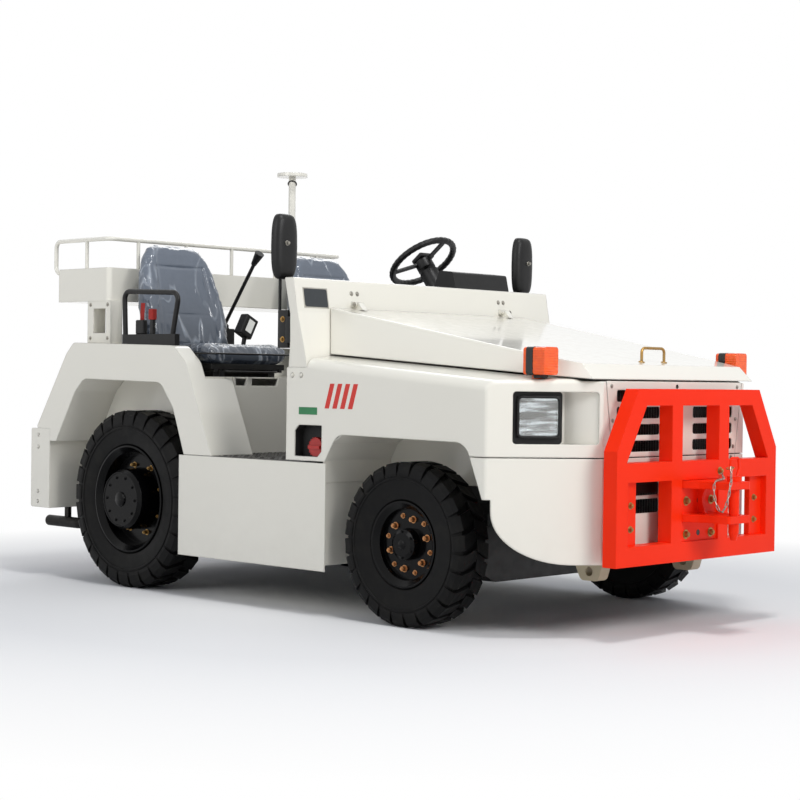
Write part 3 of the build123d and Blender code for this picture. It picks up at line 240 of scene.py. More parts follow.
# Finishes by short name: the material's name, its colour as hex or as one of TugColours, its roughness
# and what `weathered` takes besides.
FINISHES = {
    # enamel sprayed on sheet steel: glossy with faint orange peel, road film low down
    "body": ("ivory enamel", "body", 0.22, dict(
        swing=0.03, blotch=("#E0DDD0", 600, 0.25), grain=(3.0, 0.02), dust=("#A8A294", 0.55, 0.12),
        rounding=0.009, Coat_Weight=0.6, Coat_Roughness=0.06)),
    # thicker enamel over heavy plate: less coat, so its red stays deep
    "guard": ("orange red enamel", "guard", 0.34, dict(
        swing=0.04, blotch=("#E8240A", 300, 0.3), grain=(4.0, 0.02), rounding=0.003,
        Coat_Weight=0.02, Coat_Roughness=0.1, Specular_IOR_Level=0.08)),
    # chassis enamel: satin black with grey dust
    "chassis": ("black chassis enamel", "chassis", 0.42, dict(
        swing=0.1, blotch=("#141414", 120, 0.5), grain=(5.0, 0.05), dust=("#4A4640", 0.5, 0.12),
        rounding=0.003, pattern=tow_eye_paint)),
    # wheel enamel: glossy black that mirrors the yard
    "rim": ("gloss black wheel enamel", "#030304", 0.22, dict(
        blotch=("#060607", 60, 0.4), grain=(4.0, 0.02), rounding=0.002,
        Coat_Weight=0.06, Coat_Roughness=0.06, Specular_IOR_Level=0.12)),
    # carbon black rubber: matt, greyed by dust
    "rubber": ("tyre rubber", "rubber", 0.5, dict(
        swing=0.08, blotch=("#0C0C0B", 45, 0.5), grain=(2.5, 0.10), dust=("#3A3731", 0.8, 0.05),
        rounding=0.002, pattern=tyre_dust, Specular_IOR_Level=0.12)),
    # moulded polypropylene and vinyl-dipped trim: dull black with fine grain
    "trim": ("moulded black plastic", "#0B0B0C", 0.42, dict(
        swing=0.08, blotch=("#131314", 30, 0.4), grain=(1.2, 0.05), rounding=0.002,
        Specular_IOR_Level=0.32)),
    # vinyl-coated cloth under loose clear film: grain below, crisp glints on top, painted highlights on its
    # creases and painted shade low down
    "vinyl": ("vinyl under clear film", "vinyl", 0.5, dict(
        swing=0.08, blotch=("#4C5562", 70, 0.5), grain=(1.6, 0.16), pattern=film_wrinkles_painted_light,
        Coat_Weight=0.9, Coat_Roughness=0.09)),
    # acrylic lenses: saturated, light spreads inside; the amber's darker blotches are painted shade inside
    # the lens
    "amber": ("amber acrylic", "amber", 0.16, dict(
        swing=0.03, blotch=("#E04806", 22, 0.5), rounding=0.003, pattern=lens_ribs,
        Subsurface_Weight=0.2, Subsurface_Scale=0.01, Coat_Weight=0.15)),
    "red_lens": ("red acrylic", "#C2120E", 0.16, dict(
        swing=0.03, rounding=0.003, pattern=lens_ribs,
        Subsurface_Weight=0.3, Subsurface_Scale=0.01, Coat_Weight=0.8)),
    # pressed reflector behind a clear lens: bright, with level streaks of painted reflection
    "reflector": ("bright reflector", "#DCDDDE", 0.16, dict(
        swing=0.03, pattern=painted_reflection_streaks, Metallic=0.85)),
    # pressed glass: clear, its upright flutes are in the mesh
    "glass": ("clear lens glass", "#F4F8FA", 0.04, dict(swing=0.01, Transmission_Weight=0.92, IOR=1.5)),
    # silvered glass: sharp reflections
    "mirror": ("silvered mirror", "#D8DCDD", 0.03, dict(swing=0.01, Metallic=1.0)),
    # yellow-passivated zinc on nuts and pins: satin, tinted brass
    "zinc": ("yellow zinc steel", "#B08A4C", 0.36, dict(
        swing=0.1, blotch=("#8A7350", 25, 0.7), grain=(2.0, 0.04), rounding=0.001, Metallic=0.85)),
    # copper-coloured plated nuts: warm and blotched
    "copper": ("copper plated nuts", "#C08A5C", 0.34, dict(
        swing=0.1, blotch=("#8C6444", 12, 0.5), rounding=0.001, Metallic=0.85)),
    # bright zinc on screws and chain: pale grey, slightly mottled
    "steel": ("bright zinc steel", "#A7A49C", 0.32, dict(
        swing=0.1, blotch=("#86827A", 20, 0.6), grain=(2.0, 0.03), rounding=0.001, Metallic=0.9)),
    # exhaust steel: browned by heat
    "exhaust": ("heat browned steel", "#151413", 0.5, dict(
        swing=0.1, blotch=("#2A2522", 40, 0.5), grain=(3.0, 0.08), Metallic=0.7)),
    # dark rolled plate that shoes have polished
    "plate": ("dark tread plate", "#2B2A29", 0.45, dict(
        swing=0.12, blotch=("#3C3A36", 90, 0.6), grain=(3.0, 0.06), edge=("#8C877C", 0.6),
        rounding=0.001, Metallic=0.35)),
    # painted iron as cast: dull and rough
    "casting": ("grey painted casting", "#54565A", 0.6, dict(
        swing=0.1, blotch=("#3B3C3E", 60, 0.6), grain=(6.0, 0.5), rounding=0.004)),
    # blackened aluminium core: dark, with tubes and fins
    "core": ("radiator core", "#141414", 0.5, dict(swing=0.1, pattern=radiator_fins)),
    # moulded cap: plain satin red
    "cap": ("red moulded cap", "#B3201A", 0.35, dict(
        swing=0.06, blotch=("#8E1A16", 20, 0.4), rounding=0.002)),
    # enamelled and brushed plates, film, stripes and webbing: flat colours, the webbing with a woven grain
    "green_plate": ("green enamelled plate", "#1E7A46", 0.3, dict(blotch=("#1A6A3D", 40, 0.4))),
    "data_plate": ("brushed data plate", "#B9B6AC", 0.35, dict(
        swing=0.06, blotch=("#9C998F", 8, 0.5), Metallic=0.6)),
    "dark_plate": ("dark enamelled plate", "#23282C", 0.35, dict(blotch=("#2E3438", 20, 0.4))),
    "hollow": ("black inside of the filler hollow", "#070707", 0.7, {}),
    "stripe": ("red vinyl stripe", "#D2291B", 0.35, dict(blotch=("#B8241A", 50, 0.3))),
    "black_film": ("black lamp band", "#0C0C0C", 0.25, dict(swing=0.04)),
    "webbing": ("red belt webbing", "#A82018", 0.75, dict(blotch=("#7E1A14", 3, 0.7), grain=(1.5, 0.2))),
    # instrument face under its glass, and the ink on it
    "dial": ("dial face", "#101113", 0.3, dict(swing=0.03, Coat_Weight=0.8)),
    "ink": ("white dial ink", "#E8E8E2", 0.5, dict(swing=0.03)),
}


def finish(look):
    """The material of a look in FINISHES, made when it is first asked for."""
    name, colour, roughness, more = FINISHES[look]
    if name not in bpy.data.materials:
        material = bpy.data.materials.new(name)
        material.use_nodes = True
        # a hex value is no property, so it comes back as it is
        colour = getattr(bpy.context.scene.tug_colours, colour, colour)
        weathered(material.node_tree, colour, roughness, **more)
    return bpy.data.materials[name]


# Mesh helpers

def piece(name, look, forms, smooth=False, body="tug"):
    """A finished piece that rides on a body; forms are mesh helpers, each with what it takes."""
    bm = bmesh.new()
    for helper, *values in forms:
        helper(bm, *values)
    bmesh.ops.remove_doubles(bm, verts=bm.verts, dist=0.00001)
    bmesh.ops.recalc_face_normals(bm, faces=bm.faces)
    mesh = bpy.data.meshes.new(name)
    bm.to_mesh(mesh)
    bm.free()
    return placed(name, mesh, look, smooth, body)


def placed(name, mesh, look, smooth=False, body="tug"):
    """Links a mesh as a finished piece."""
    mesh.name = name
    mesh.materials.clear()
    mesh.materials.append(finish(look))
    mesh.shade_smooth() if smooth else mesh.shade_flat()
    if smooth:
        mesh.set_sharp_from_angle(angle=radians(35))
    thing = bpy.data.objects.new(name, mesh)
    bpy.context.scene.collection.objects.link(thing)
    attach(thing, body)
    return thing


def circle(count, phase=0.0):
    """Angles of count places round a circle; phase is a share of their step."""
    return [2 * pi * (k + phase) / count for k in range(count)]


def skin(bm, rings, capped=True, closed=False):
    """Quads between neighbouring rings of corners; corners that fall together are dropped."""
    for lower, upper in list(zip(rings, rings[1:])) + ([(rings[-1], rings[0])] if closed else []):
        for k in range(len(lower)):
            n = (k + 1) % len(lower)
            corners = list(dict.fromkeys((lower[k], lower[n], upper[n], upper[k])))
            if len(corners) > 2:
                bm.faces.new(corners)
    if capped:
        bm.faces.new(rings[0][::-1])
        bm.faces.new(rings[-1])


def stack(bm, rings):
    """Closes a stack of equal rings of places into one skin."""
    skin(bm, [[bm.verts.new(place) for place in ring] for ring in rings])
    bmesh.ops.recalc_face_normals(bm, faces=bm.faces)


def prism(bm, outline, lift):
    """Adds a solid from a flat outline of points and the vector that lifts it."""
    skin(bm, [[bm.verts.new(Vector(p) + Vector(shift)) for p in outline] for shift in ((0, 0, 0), lift)])


def sheet(bm, columns, rows, place):
    """Adds a grid of quads; place gives the point at two shares of its width and height."""
    grid = [[bm.verts.new(place(i / (columns - 1), j / (rows - 1))) for j in range(rows)]
            for i in range(columns)]
    for near, far in zip(grid, grid[1:]):
        for j in range(rows - 1):
            bm.faces.new([near[j], far[j], far[j + 1], near[j + 1]])


def slab(bm, low, high, bevel=0.0, turn=Matrix.Identity(4)):
    """Adds a block with rounded edges between two corners, turned about its own middle by a matrix."""
    low, high = Vector(low), Vector(high)
    size = Matrix.Diagonal((*(high - low), 1.0))
    made = bmesh.ops.create_cube(bm, size=1.0, matrix=size)["verts"]
    if bevel:
        edges = {edge for vert in made for edge in vert.link_edges}
        made = bmesh.ops.bevel(bm, geom=list(edges), offset=bevel, segments=2, profile=0.6,
                               affect="EDGES")["verts"]
    bmesh.ops.transform(bm, matrix=Matrix.Translation((low + high) / 2) @ turn, verts=made)


def turned(bm, profile, centre, direction, steps=32, closed=False):
    """Adds a turned form from (radius, height along direction) corners."""
    aim = Vector(direction).to_track_quat("Z", "Y").to_matrix().to_4x4()
    place = Matrix.Translation(centre) @ aim
    rings = []
    for radius, height in profile:
        if radius < 1e-7:
            rings.append([bm.verts.new(place @ Vector((0, 0, height)))] * steps)
        else:
            rings.append([bm.verts.new(place @ Vector((radius * cos(a), radius * sin(a), height)))
                          for a in circle(steps)])
    skin(bm, rings, False, closed)


def tube(bm, points, radius, sides=10, closed=False):
    """Adds a round tube along points, with flat ends unless closed."""
    points = [Vector(p) for p in points]
    last = len(points) - 1
    rings = []
    side = None
    for index, point in enumerate(points):
        before = points[index - 1] if index or closed else point
        after = points[(index + 1) % len(points)] if index < last or closed else point
        along = (after - before).normalized()
        side = side or along.orthogonal().normalized()
        side = (side - along * side.dot(along)).normalized()
        other = along.cross(side)
        rings.append([bm.verts.new(point + (side * cos(a) + other * sin(a)) * radius)
                      for a in circle(sides)])
    skin(bm, rings, not closed, closed)


def curve_points(corners, per_span=6):
    """Points of a smooth curve through corners."""
    corners = [Vector(c) for c in corners]
    ends = [corners[0] * 2 - corners[1]] + corners + [corners[-1] * 2 - corners[-2]]
    points = []
    for a, b, c, d in zip(ends, ends[1:], ends[2:], ends[3:]):
        for step in range(per_span):
            t = step / per_span
            points.append(0.5 * ((2 * b) + (c - a) * t + (2 * a - 5 * b + 4 * c - d) * t ** 2
                                 + (3 * b - a - 3 * c + d) * t ** 3))
    points.append(corners[-1])
    return points


def rounded(outline, radius, steps=5):
    """Corners of a flat closed outline cut to arcs."""
    outline = [Vector(p) for p in outline]
    points = []
    for index, corner in enumerate(outline):
        before = outline[index - 1]
        after = outline[(index + 1) % len(outline)]
        reach = min(radius, (before - corner).length * 0.49, (after - corner).length * 0.49)
        start = corner + (before - corner).normalized() * reach
        end = corner + (after - corner).normalized() * reach
        for step in range(steps + 1):
            t = step / steps
            points.append(start * (1 - t) ** 2 + corner * 2 * t * (1 - t) + end * t ** 2)
    return points


# Geometry Nodes

CONE = ("GeometryNodeMeshCone", {}, ("Vertices", "Radius Bottom", "Radius Top", "Depth"), 0)
CYLINDER = ("GeometryNodeMeshCylinder", {}, ("Vertices", "Radius", "Depth"), 0)
INSTANCES = ("GeometryNodeInstanceOnPoints", {}, ("Points", "Instance", "Rotation"), 0)
MOVE = ("GeometryNodeTransform", {}, ("Geometry", "Translation", "Scale"), 0)
JOIN, INDEX = "ShaderNodeCombineXYZ", "GeometryNodeInputIndex"


def node_tree(name, inputs):
    """A geometry tree with named inputs (name, default), the outputs of its entry and its end."""
    tree = bpy.data.node_groups.new(name, "GeometryNodeTree")
    kinds = {"Geometry": "NodeSocketGeometry", "Finish": "NodeSocketMaterial", "Centre": "NodeSocketVector"}
    for label, default in dict(inputs, Finish=None).items():
        kind = kinds.get(label, "NodeSocketInt" if isinstance(default, int) else "NodeSocketFloat")
        socket = tree.interface.new_socket(label, in_out="INPUT", socket_type=kind)
        if default is not None:
            socket.default_value = default
    tree.interface.new_socket("Geometry", in_out="OUTPUT", socket_type="NodeSocketGeometry")
    return tree, tree.nodes.new("NodeGroupInput").outputs, tree.nodes.new("NodeGroupOutput")


def closing(tree, geometry, read, end):
    """Realizes the instances and sets the material at the end of a tree."""
    real = add(tree, "GeometryNodeRealizeInstances", geometry)
    plug(tree, end, {0: add(tree, "GeometryNodeSetMaterial", real, None, read["Finish"])})
    return tree


def fastener_tree():
    """Hexagon nuts with washers on points, each standing along its point's aim."""
    name = "fasteners on points"
    if name in bpy.data.node_groups:
        return bpy.data.node_groups[name]
    tree, read, end = node_tree(name, {"Geometry": None, "Radius": 0.01, "Height": 0.008, "Washer": 0.014,
                                       "Corners": 6})
    # the head tapers, its washer is thin and a stud half as wide stands out of it
    top, shaft = (add(tree, "MULTIPLY", read["Radius"], share) for share in (0.88, 0.5))
    thin, lift = (add(tree, "MULTIPLY", read["Height"], share) for share in (0.22, 0.78))
    head = add(tree, CONE, read["Corners"], read["Radius"], top, read["Height"])
    washer = add(tree, CYLINDER, 20, read["Washer"], thin)
    stud = add(tree, MOVE, add(tree, CYLINDER, 12, shaft, read["Height"]), add(tree, JOIN, None, None, lift))
    whole = add(tree, "GeometryNodeJoinGeometry")
    for part in (head, washer, stud):
        plug(tree, whole.node, {0: part})
    aim = add(tree, "GeometryNodeInputNamedAttribute", "aim", data_type="FLOAT_VECTOR")
    turn = add(tree, "FunctionNodeAlignRotationToVector", None, None, aim, axis="Z")
    return closing(tree, add(tree, INSTANCES, read["Geometry"], whole, turn), read, end)


def ring_tree():
    """Copies of one piece round the y axis of the machine, turned by the same step."""
    name = "pieces round an axle"
    if name in bpy.data.node_groups:
        return bpy.data.node_groups[name]
    tree, read, end = node_tree(name, {"Geometry": None, "Count": 26, "Phase": 0.0, "Centre": None})
    line = add(tree, "GeometryNodeMeshLine", read["Count"], None, None, (0.0, 0.0, 0.0))
    step = add(tree, "DIVIDE", add(tree, "ADD", add(tree, INDEX), read["Phase"]), read["Count"])
    turn = add(tree, JOIN, None, add(tree, "MULTIPLY", step, 2 * pi))
    ring = add(tree, INSTANCES, line, read["Geometry"], turn)
    return closing(tree, add(tree, MOVE, ring, read["Centre"]), read, end)


def tread_plate_tree():
    """Raised bars on a flat grid, every other one turned across."""
    tree, read, end = node_tree("tread plate bars", {"Length": 1.0, "Width": 1.0, "Pitch": 0.032})
    rows, columns = (add(tree, "FLOOR", add(tree, "DIVIDE", read[side], read["Pitch"]))
                     for side in ("Length", "Width"))
    grid = add(tree, "GeometryNodeMeshGrid", read["Length"], read["Width"], rows, columns)
    place = add(tree, "GeometryNodeInputPosition")
    across, along = (add(tree, "ROUND", add(tree, "DIVIDE", add(tree, AXIS, place, out=axis), read["Pitch"]))
                     for axis in "XY")
    # 1000 keeps the sum positive, so that its rest by 2 tells odd from even
    odd = add(tree, "MODULO", add(tree, "ADD", add(tree, "ADD", across, along), 1000.0), 2.0)
    turn = add(tree, JOIN, None, None, add(tree, "MULTIPLY_ADD", odd, pi / 2, pi / 4))
    bar = add(tree, MOVE, add(tree, CONE, 6, 0.005, 0.003, 0.0018), None, (2.4, 0.8, 1.0))
    return closing(tree, add(tree, INSTANCES, grid, bar, turn), read, end)


def chain_tree(link):
    """Copies of a chain link along a curve, each turned a quarter from the last."""
    tree, read, end = node_tree("chain along a path", {"Geometry": None, "Pitch": 0.02})
    shape = add(tree, "GeometryNodeObjectInfo", link, out="Geometry")
    line = add(tree, "GeometryNodeMeshToCurve", read["Geometry"])
    points = add(tree, "GeometryNodeCurveToPoints", line, None, read["Pitch"], mode="LENGTH")
    quarter = add(tree, JOIN, None, None, add(tree, "MULTIPLY", add(tree, INDEX), pi / 2))
    spin = add(tree, "FunctionNodeEulerToRotation", quarter)
    turn = add(tree, "FunctionNodeRotateRotation", points.node.outputs["Rotation"], spin,
               rotation_space="LOCAL")
    return closing(tree, add(tree, INSTANCES, points, shape, turn), read, end)


def grown(name, tree, values, bm, look, smooth=False, body="tug"):
    """Runs a geometry tree on a bmesh and keeps the result as a plain finished piece."""
    seed = bpy.data.meshes.new(name + " seed")
    bm.to_mesh(seed)
    bm.free()
    holder = bpy.data.objects.new(name + " seed", seed)
    bpy.context.scene.collection.objects.link(holder)
    modifier = holder.modifiers.new("grow", "NODES")
    modifier.node_group = tree
    sockets = {item.name: item.identifier for item in tree.interface.items_tree if item.in_out == "INPUT"}
    for label, value in dict(values, Finish=finish(look)).items():
        modifier[sockets[label]] = value
    depsgraph = bpy.context.evaluated_depsgraph_get()
    mesh = bpy.data.meshes.new_from_object(holder.evaluated_get(depsgraph))
    holder.modifiers.clear()
    bpy.data.objects.remove(holder)
    bpy.data.meshes.remove(seed)
    return placed(name, mesh, look, smooth, body)


def fasteners(name, look, spots, radius, height, washer, corners=6, body="tug", slot=None):
    """Nuts or rivets at (place, direction) pairs; sizes in millimetres."""
    bm = bmesh.new()
    layer = bm.verts.layers.float_vector.new("aim")
    for place, direction in spots:
        bm.verts.new(place)[layer] = Vector(direction)
    values = {"Radius": radius * MM, "Height": height * MM, "Washer": washer * MM, "Corners": corners}
    grown(name, fastener_tree(), values, bm, look, False, body)


# Places

def at(x, y, z):
    """A place in millimetres measured from the front axle, in the frame's metres."""
    return Vector((x * MM + AXLE_X, y * MM, z * MM))


def on_facet(along, depth, z, side):
    """A place on the slanted front corner: along it from the side, inwards and up, in millimetres."""
    return at(460 + 0.6273 * along - 0.7787 * depth, side * (850 - 0.7787 * along - 0.6273 * depth), z)


FORWARD, BACKWARD = (1, 0, 0), (-1, 0, 0)
# x and distance from the middle of each wheel, z, radius, half width, bead and flange radius in millimetres
WHEELS = {
    "front": (0, 745, 334, 334, 88, 152, 176),
    "rear": (-1790, 728, 418, 418, 104, 228, 252),
}
# look: CAD nodes; what isn't listed is black trim
PAINTED = {
    "body": ("step_boxes", "front_fenders", "corner_panels", "grille_panel", "hood", "cowl", "rear_fenders",
             "rear_body", "seat_base", "luggage_tray", "guard_rail", "beacon_mast"),
    "guard": ("front_guard", "front_hitch", "rear_hitch", "hitch_pin"),
    "chassis": ("chassis_frame", "front_axle", "knuckle_left", "knuckle_right", "rear_axle", "seat_frames"),
    "rim": [f"rim_{end}_{side}" for end in WHEELS for side in SIDES],
    "rubber": [f"tyre_{end}_{side}" for end in WHEELS for side in SIDES],
    "zinc": ("hood_handle", "rear_hitch_pin"), "casting": ("engine_block",), "core": ("radiator",),
    "plate": ("floor_plate",), "amber": ("turn_signals",), "red_lens": ("rear_lamps",),
    "exhaust": ("exhaust_pipe",), "cap": ("filler_cap",),
}


class TUG_OT_paint(bpy.types.Operator):
    """Give every CAD node its finish"""

    bl_idname = "tug.paint"
    bl_label = "Paint the nodes"

    def execute(self, context):
        looks = {node: look for look, nodes in PAINTED.items() for node in nodes}
        for node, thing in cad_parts.items():
            thing.data.materials.clear()
            thing.data.materials.append(finish(looks.get(node, "trim")))
        return {"FINISHED"}


# Tread bar stations: share of half width, share of radius, slant and width as shares of the pitch,
# and how far the bar's foot lies inwards in radius and in width as shares of the groove depth
BAR_STATIONS = [
    (0.03, 1.00, 0.00, 0.60, 1.1, 0.0), (0.42, 1.00, 0.20, 0.66, 1.1, 0.0),
    (0.80, 1.00, 0.38, 0.76, 1.0, 0.3), (0.955, 0.945, 0.41, 0.81, 0.6, 0.8),
    (1.00, 0.865, 0.42, 0.83, 0.3, 0.8), (0.99, 0.835, 0.42, 0.82, 0.0, 0.6),
]
# Side wall above the rim flange: shares of radius and of half width; two steps mark the moulded ring
WALL_STATIONS = [(0.66, 0.90), (0.76, 0.945), (0.79, 0.955), (0.795, 0.99), (0.812, 0.99), (0.817, 0.955),
                 (0.86, 0.975)]


def tread_bars(radius, half, depth, count):
    """One left and one right tread bar about the y axis; the right one is half a pitch on."""
    bm = bmesh.new()
    pitch = 2 * pi / count
    for side, phase in ((1, 0.0), (-1, 0.5)):
        rows = []
        for share, height, slant, width, inward, across in BAR_STATIONS:
            row = []
            # two corners of the top, then two of the foot, which is a little wider
            for turn, foot in ((-0.5, 0), (0.5, 0), (0.525, 1), (-0.525, 1)):
                angle = (slant + phase + turn * width) * pitch
                r = radius * height - foot * inward * depth
                y = side * (half * share - foot * across * depth)
                row.append(bm.verts.new((r * sin(angle), y, r * cos(angle))))
            rows.append(row)
        skin(bm, rows)
    bmesh.ops.recalc_face_normals(bm, faces=bm.faces)
    return bm


class TUG_OT_tyres(bpy.types.Operator):
    """Lugged tyres with moulded side walls"""

    bl_idname = "tug.tyres"
    bl_label = "Tyres"

    def execute(self, context):
        sizes = context.scene.tug_sizes
        depth = sizes.groove_depth
        for end, (x, distance, z, *widths) in WHEELS.items():
            radius, half, bead, flange = (value * MM for value in widths)
            side_wall = [(bead, 0.62 * half), (flange + 0.003, 0.78 * half), (flange + 0.008, 0.86 * half)]
            side_wall += [(high * radius, wide * half) for high, wide in WALL_STATIONS]
            side_wall += [(0.945 * radius - 0.5 * depth, 0.955 * half - 0.6 * depth),
                          (radius - depth, 0.76 * half), (radius - depth, 0.4 * half)]
            profile = side_wall + [(r, -y) for r, y in reversed(side_wall)]
            for name, side in SIDES.items():
                centre = at(x, side * distance, z)
                body = f"wheel_{end}_{name}"
                wall = piece(f"tyre_wall_{end}_{name}", "rubber",
                             [(turned, profile, centre, (0, 1, 0), 96, True)], True, body)
                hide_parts(f"tyre_{end}_{name}")
                count = sizes.front_lugs if end == "front" else sizes.rear_lugs
                values = {"Count": count, "Phase": 0.25, "Centre": centre}
                grown(f"tread_bars_{end}_{name}", ring_tree(), values,
                      tread_bars(radius, half, depth, count), "rubber", False, body)
        return {"FINISHED"}


# nuts and bolts: end, name, count, radius of their circle, height above the wheel's middle plane,
# nut radius, height, washer radius in millimetres, turn as a share of the pitch, look
WHEEL_NUTS = [
    ("front", "wheel_nuts", 6, 103.5, 35, 12, 18, 15, 0.0, "copper"),
    ("front", "rim_bolts", 6, 118, 35, 8, 9, 11, 0.5, "copper"),
    ("front", "cap_screws", 6, 54, 77.5, 4.5, 5, 6, 0.25, "rim"),
    ("rear", "wheel_nuts", 8, 165, 12, 10, 20, 14, 0.0, "zinc"),
    ("rear", "hub_screws", 10, 104, 134, 7, 6, 10, 0.5, "rim"),
]
# hub plug: height of its foot above the wheel's middle plane in millimetres, then forms of
# (radius, height) corners in metres with their steps: a plug, and at the rear a ring round it
HUB_PLUGS = {
    "front": (79, [([(0, 0.006), (0.012, 0.006), (0.020, 0.002), (0.022, -0.001)], 24)]),
    "rear": (134, [([(0, 0.010), (0.028, 0.010), (0.034, 0.006), (0.036, -0.001)], 24),
                   ([(0.122, 0.0), (0.124, 0.003), (0.128, 0.003), (0.130, 0.0)], 48)]),
}


class TUG_OT_wheel_fasteners(bpy.types.Operator):
    """Nuts, screws and hub plugs of the wheels"""

    bl_idname = "tug.wheel_fasteners"
    bl_label = "Wheel fasteners"

    def execute(self, context):
        for side_name, side in SIDES.items():
            for end, name, count, reach, out, radius, height, washer, turn, look in WHEEL_NUTS:
                x, distance, z = WHEELS[end][:3]
                # 0.3 turns every circle a little, so that no nut stands right above the axle
                spots = [(at(x + reach * cos(a + 0.3), side * (distance + out), z + reach * sin(a + 0.3)),
                          (0, side, 0)) for a in circle(count, turn)]
                fasteners(f"{name}_{end}_{side_name}", look, spots, radius, height, washer,
                          body=f"wheel_{end}_{side_name}", slot="rim_black")
            for end, (foot, forms) in HUB_PLUGS.items():
                x, distance, z = WHEELS[end][:3]
                centre = at(x, side * (distance + foot), z)
                piece(f"hub_plug_{end}_{side_name}", "rim",
                      [(turned, profile, centre, (0, side, 0), steps) for profile, steps in forms],
                      True, f"wheel_{end}_{side_name}")
        return {"FINISHED"}


# Seats

# the cover's cloth settings: a light, tight cover with air pressure in it and no weight
COVER = dict(quality=4, mass=0.4, tension_stiffness=30, compression_stiffness=30, bending_stiffness=1.0,
             use_pressure=True, uniform_pressure_force=4.0)
COVER_STEPS = 20
PAD_GRID, QUICK_GRID = 0.006, 0.012


def swollen(bm, cap):
    """A pad's mesh after its filling has pressed its cover outwards, no further than cap."""
    mesh = bpy.data.meshes.new("pad seed")
    bm.to_mesh(mesh)
    bm.free()
    pad = bpy.data.objects.new("pad seed", mesh)
    scene = bpy.context.scene
    scene.collection.objects.link(pad)
    remesh = pad.modifiers.new("even", "REMESH")
    remesh.mode = "VOXEL"
    remesh.voxel_size = PAD_GRID
    depsgraph = bpy.context.evaluated_depsgraph_get()
    even = bpy.data.meshes.new_from_object(pad.evaluated_get(depsgraph))
    pad.modifiers.clear()
    pad.data = even
    cover = pad.modifiers.new("cover", "CLOTH")
    for key, value in COVER.items():
        setattr(cover.settings, key, value)
    cover.settings.effector_weights.gravity = 0.0
    cover.collision_settings.use_collision = False
    cover.point_cache.frame_start, cover.point_cache.frame_end = 1, COVER_STEPS
    for step in range(COVER_STEPS):
        scene.frame_set(step + 1)
    depsgraph = bpy.context.evaluated_depsgraph_get()
    puffed = bpy.data.meshes.new_from_object(pad.evaluated_get(depsgraph))
    pad.modifiers.clear()
    scene.frame_set(1)
    rest, moved = np.empty((2, len(even.vertices) * 3))
    even.vertices.foreach_get("co", rest)
    puffed.vertices.foreach_get("co", moved)
    shift = (moved - rest).reshape(-1, 3)
    far = np.linalg.norm(shift, axis=1, keepdims=True)
    shift *= np.minimum(1.0, cap / np.maximum(far, 1e-9))
    even.vertices.foreach_set("co", rest + shift.ravel())
    bpy.data.objects.remove(pad)
    even.update()
    return even


def creased(mesh, lines, depth, width=0.007):
    """Draws sewn channels into a pad: points near a line move against their normals."""
    places, normals = np.empty((2, len(mesh.vertices) * 3))
    mesh.vertices.foreach_get("co", places)
    mesh.vertices.foreach_get("normal", normals)
    places, normals = places.reshape(-1, 3), normals.reshape(-1, 3)
    pull = np.zeros(len(places))
    for start, end, reach in lines:
        start, end = np.array(start), np.array(end)
        along = end - start
        t = np.clip(((places - start) @ along) / (along @ along), 0.0, 1.0)
        gap = np.linalg.norm(places - (start + t[:, None] * along), axis=1)
        pull = np.maximum(pull, np.exp(-(gap / width) ** 2) * reach)
    mesh.vertices.foreach_set("co", (places - normals * (pull * depth)[:, None]).ravel())
    mesh.update()


SEAT_Y = 485
# seat back: foot x and z in millimetres and lean, as in the part
BACK_FOOT = (-1710, 1105)
BACK_LEAN = radians(14.74)
# seat back rows: height, half width, depth of the rear, depth of the front at the middle, bolster
BACK_ROWS = [
    (14, 206, -82, -22, 4), (60, 246, -90, -12, 12), (150, 260, -93, -10, 20), (250, 257, -93, -12, 20),
    (330, 246, -90, -14, 16), (425, 226, -84, -17, 10), (502, 193, -78, -20, 5), (550, 160, -70, -26, 2),
    (573, 112, -60, -38, 0),
]
# cushion rows: x, half width, top at the middle, bolster
CUSHION_ROWS = [
    (-1690, 190, 1130, 4), (-1650, 236, 1142, 10), (-1560, 248, 1140, 14), (-1450, 250, 1142, 13),
    (-1370, 248, 1146, 9), (-1322, 238, 1138, 4), (-1304, 210, 1112, 0),
]
# half of the welt round a cushion as (x, y), from its rear corner to the middle of its front
WELT = [(-1690, 206), (-1640, 254), (-1560, 264), (-1450, 266), (-1360, 264), (-1308, 240), (-1291, 180)]
# rows lie this far inside the pad, because its filling presses the cover outwards
PAD_INSET = 8


def back_place(depth, y, height):
    """A place on the seat back: depth forwards from its front plane, height up along it."""
    return at(BACK_FOOT[0] + depth * cos(BACK_LEAN) - height * sin(BACK_LEAN), y,
              BACK_FOOT[1] + depth * sin(BACK_LEAN) + height * cos(BACK_LEAN))


def pad_ring(half, low, high, bolster, steps=9):
    """Cross-section of a pad as (sideways, thickness) pairs: flat below, bolstered above."""
    edge = low + 0.4 * (high - low)
    top = []
    for k in range(steps):
        u = -1 + 2 * k / (steps - 1)
        rise = bolster * (abs(u) ** 2.2) * (1 - max(0.0, abs(u) - 0.82) * 5.0)
        top.append((u * half, high + rise))
    return [(-half * 0.93, low), (-half * 1.02, edge), *top, (half * 1.02, edge), (half * 0.93, low)]


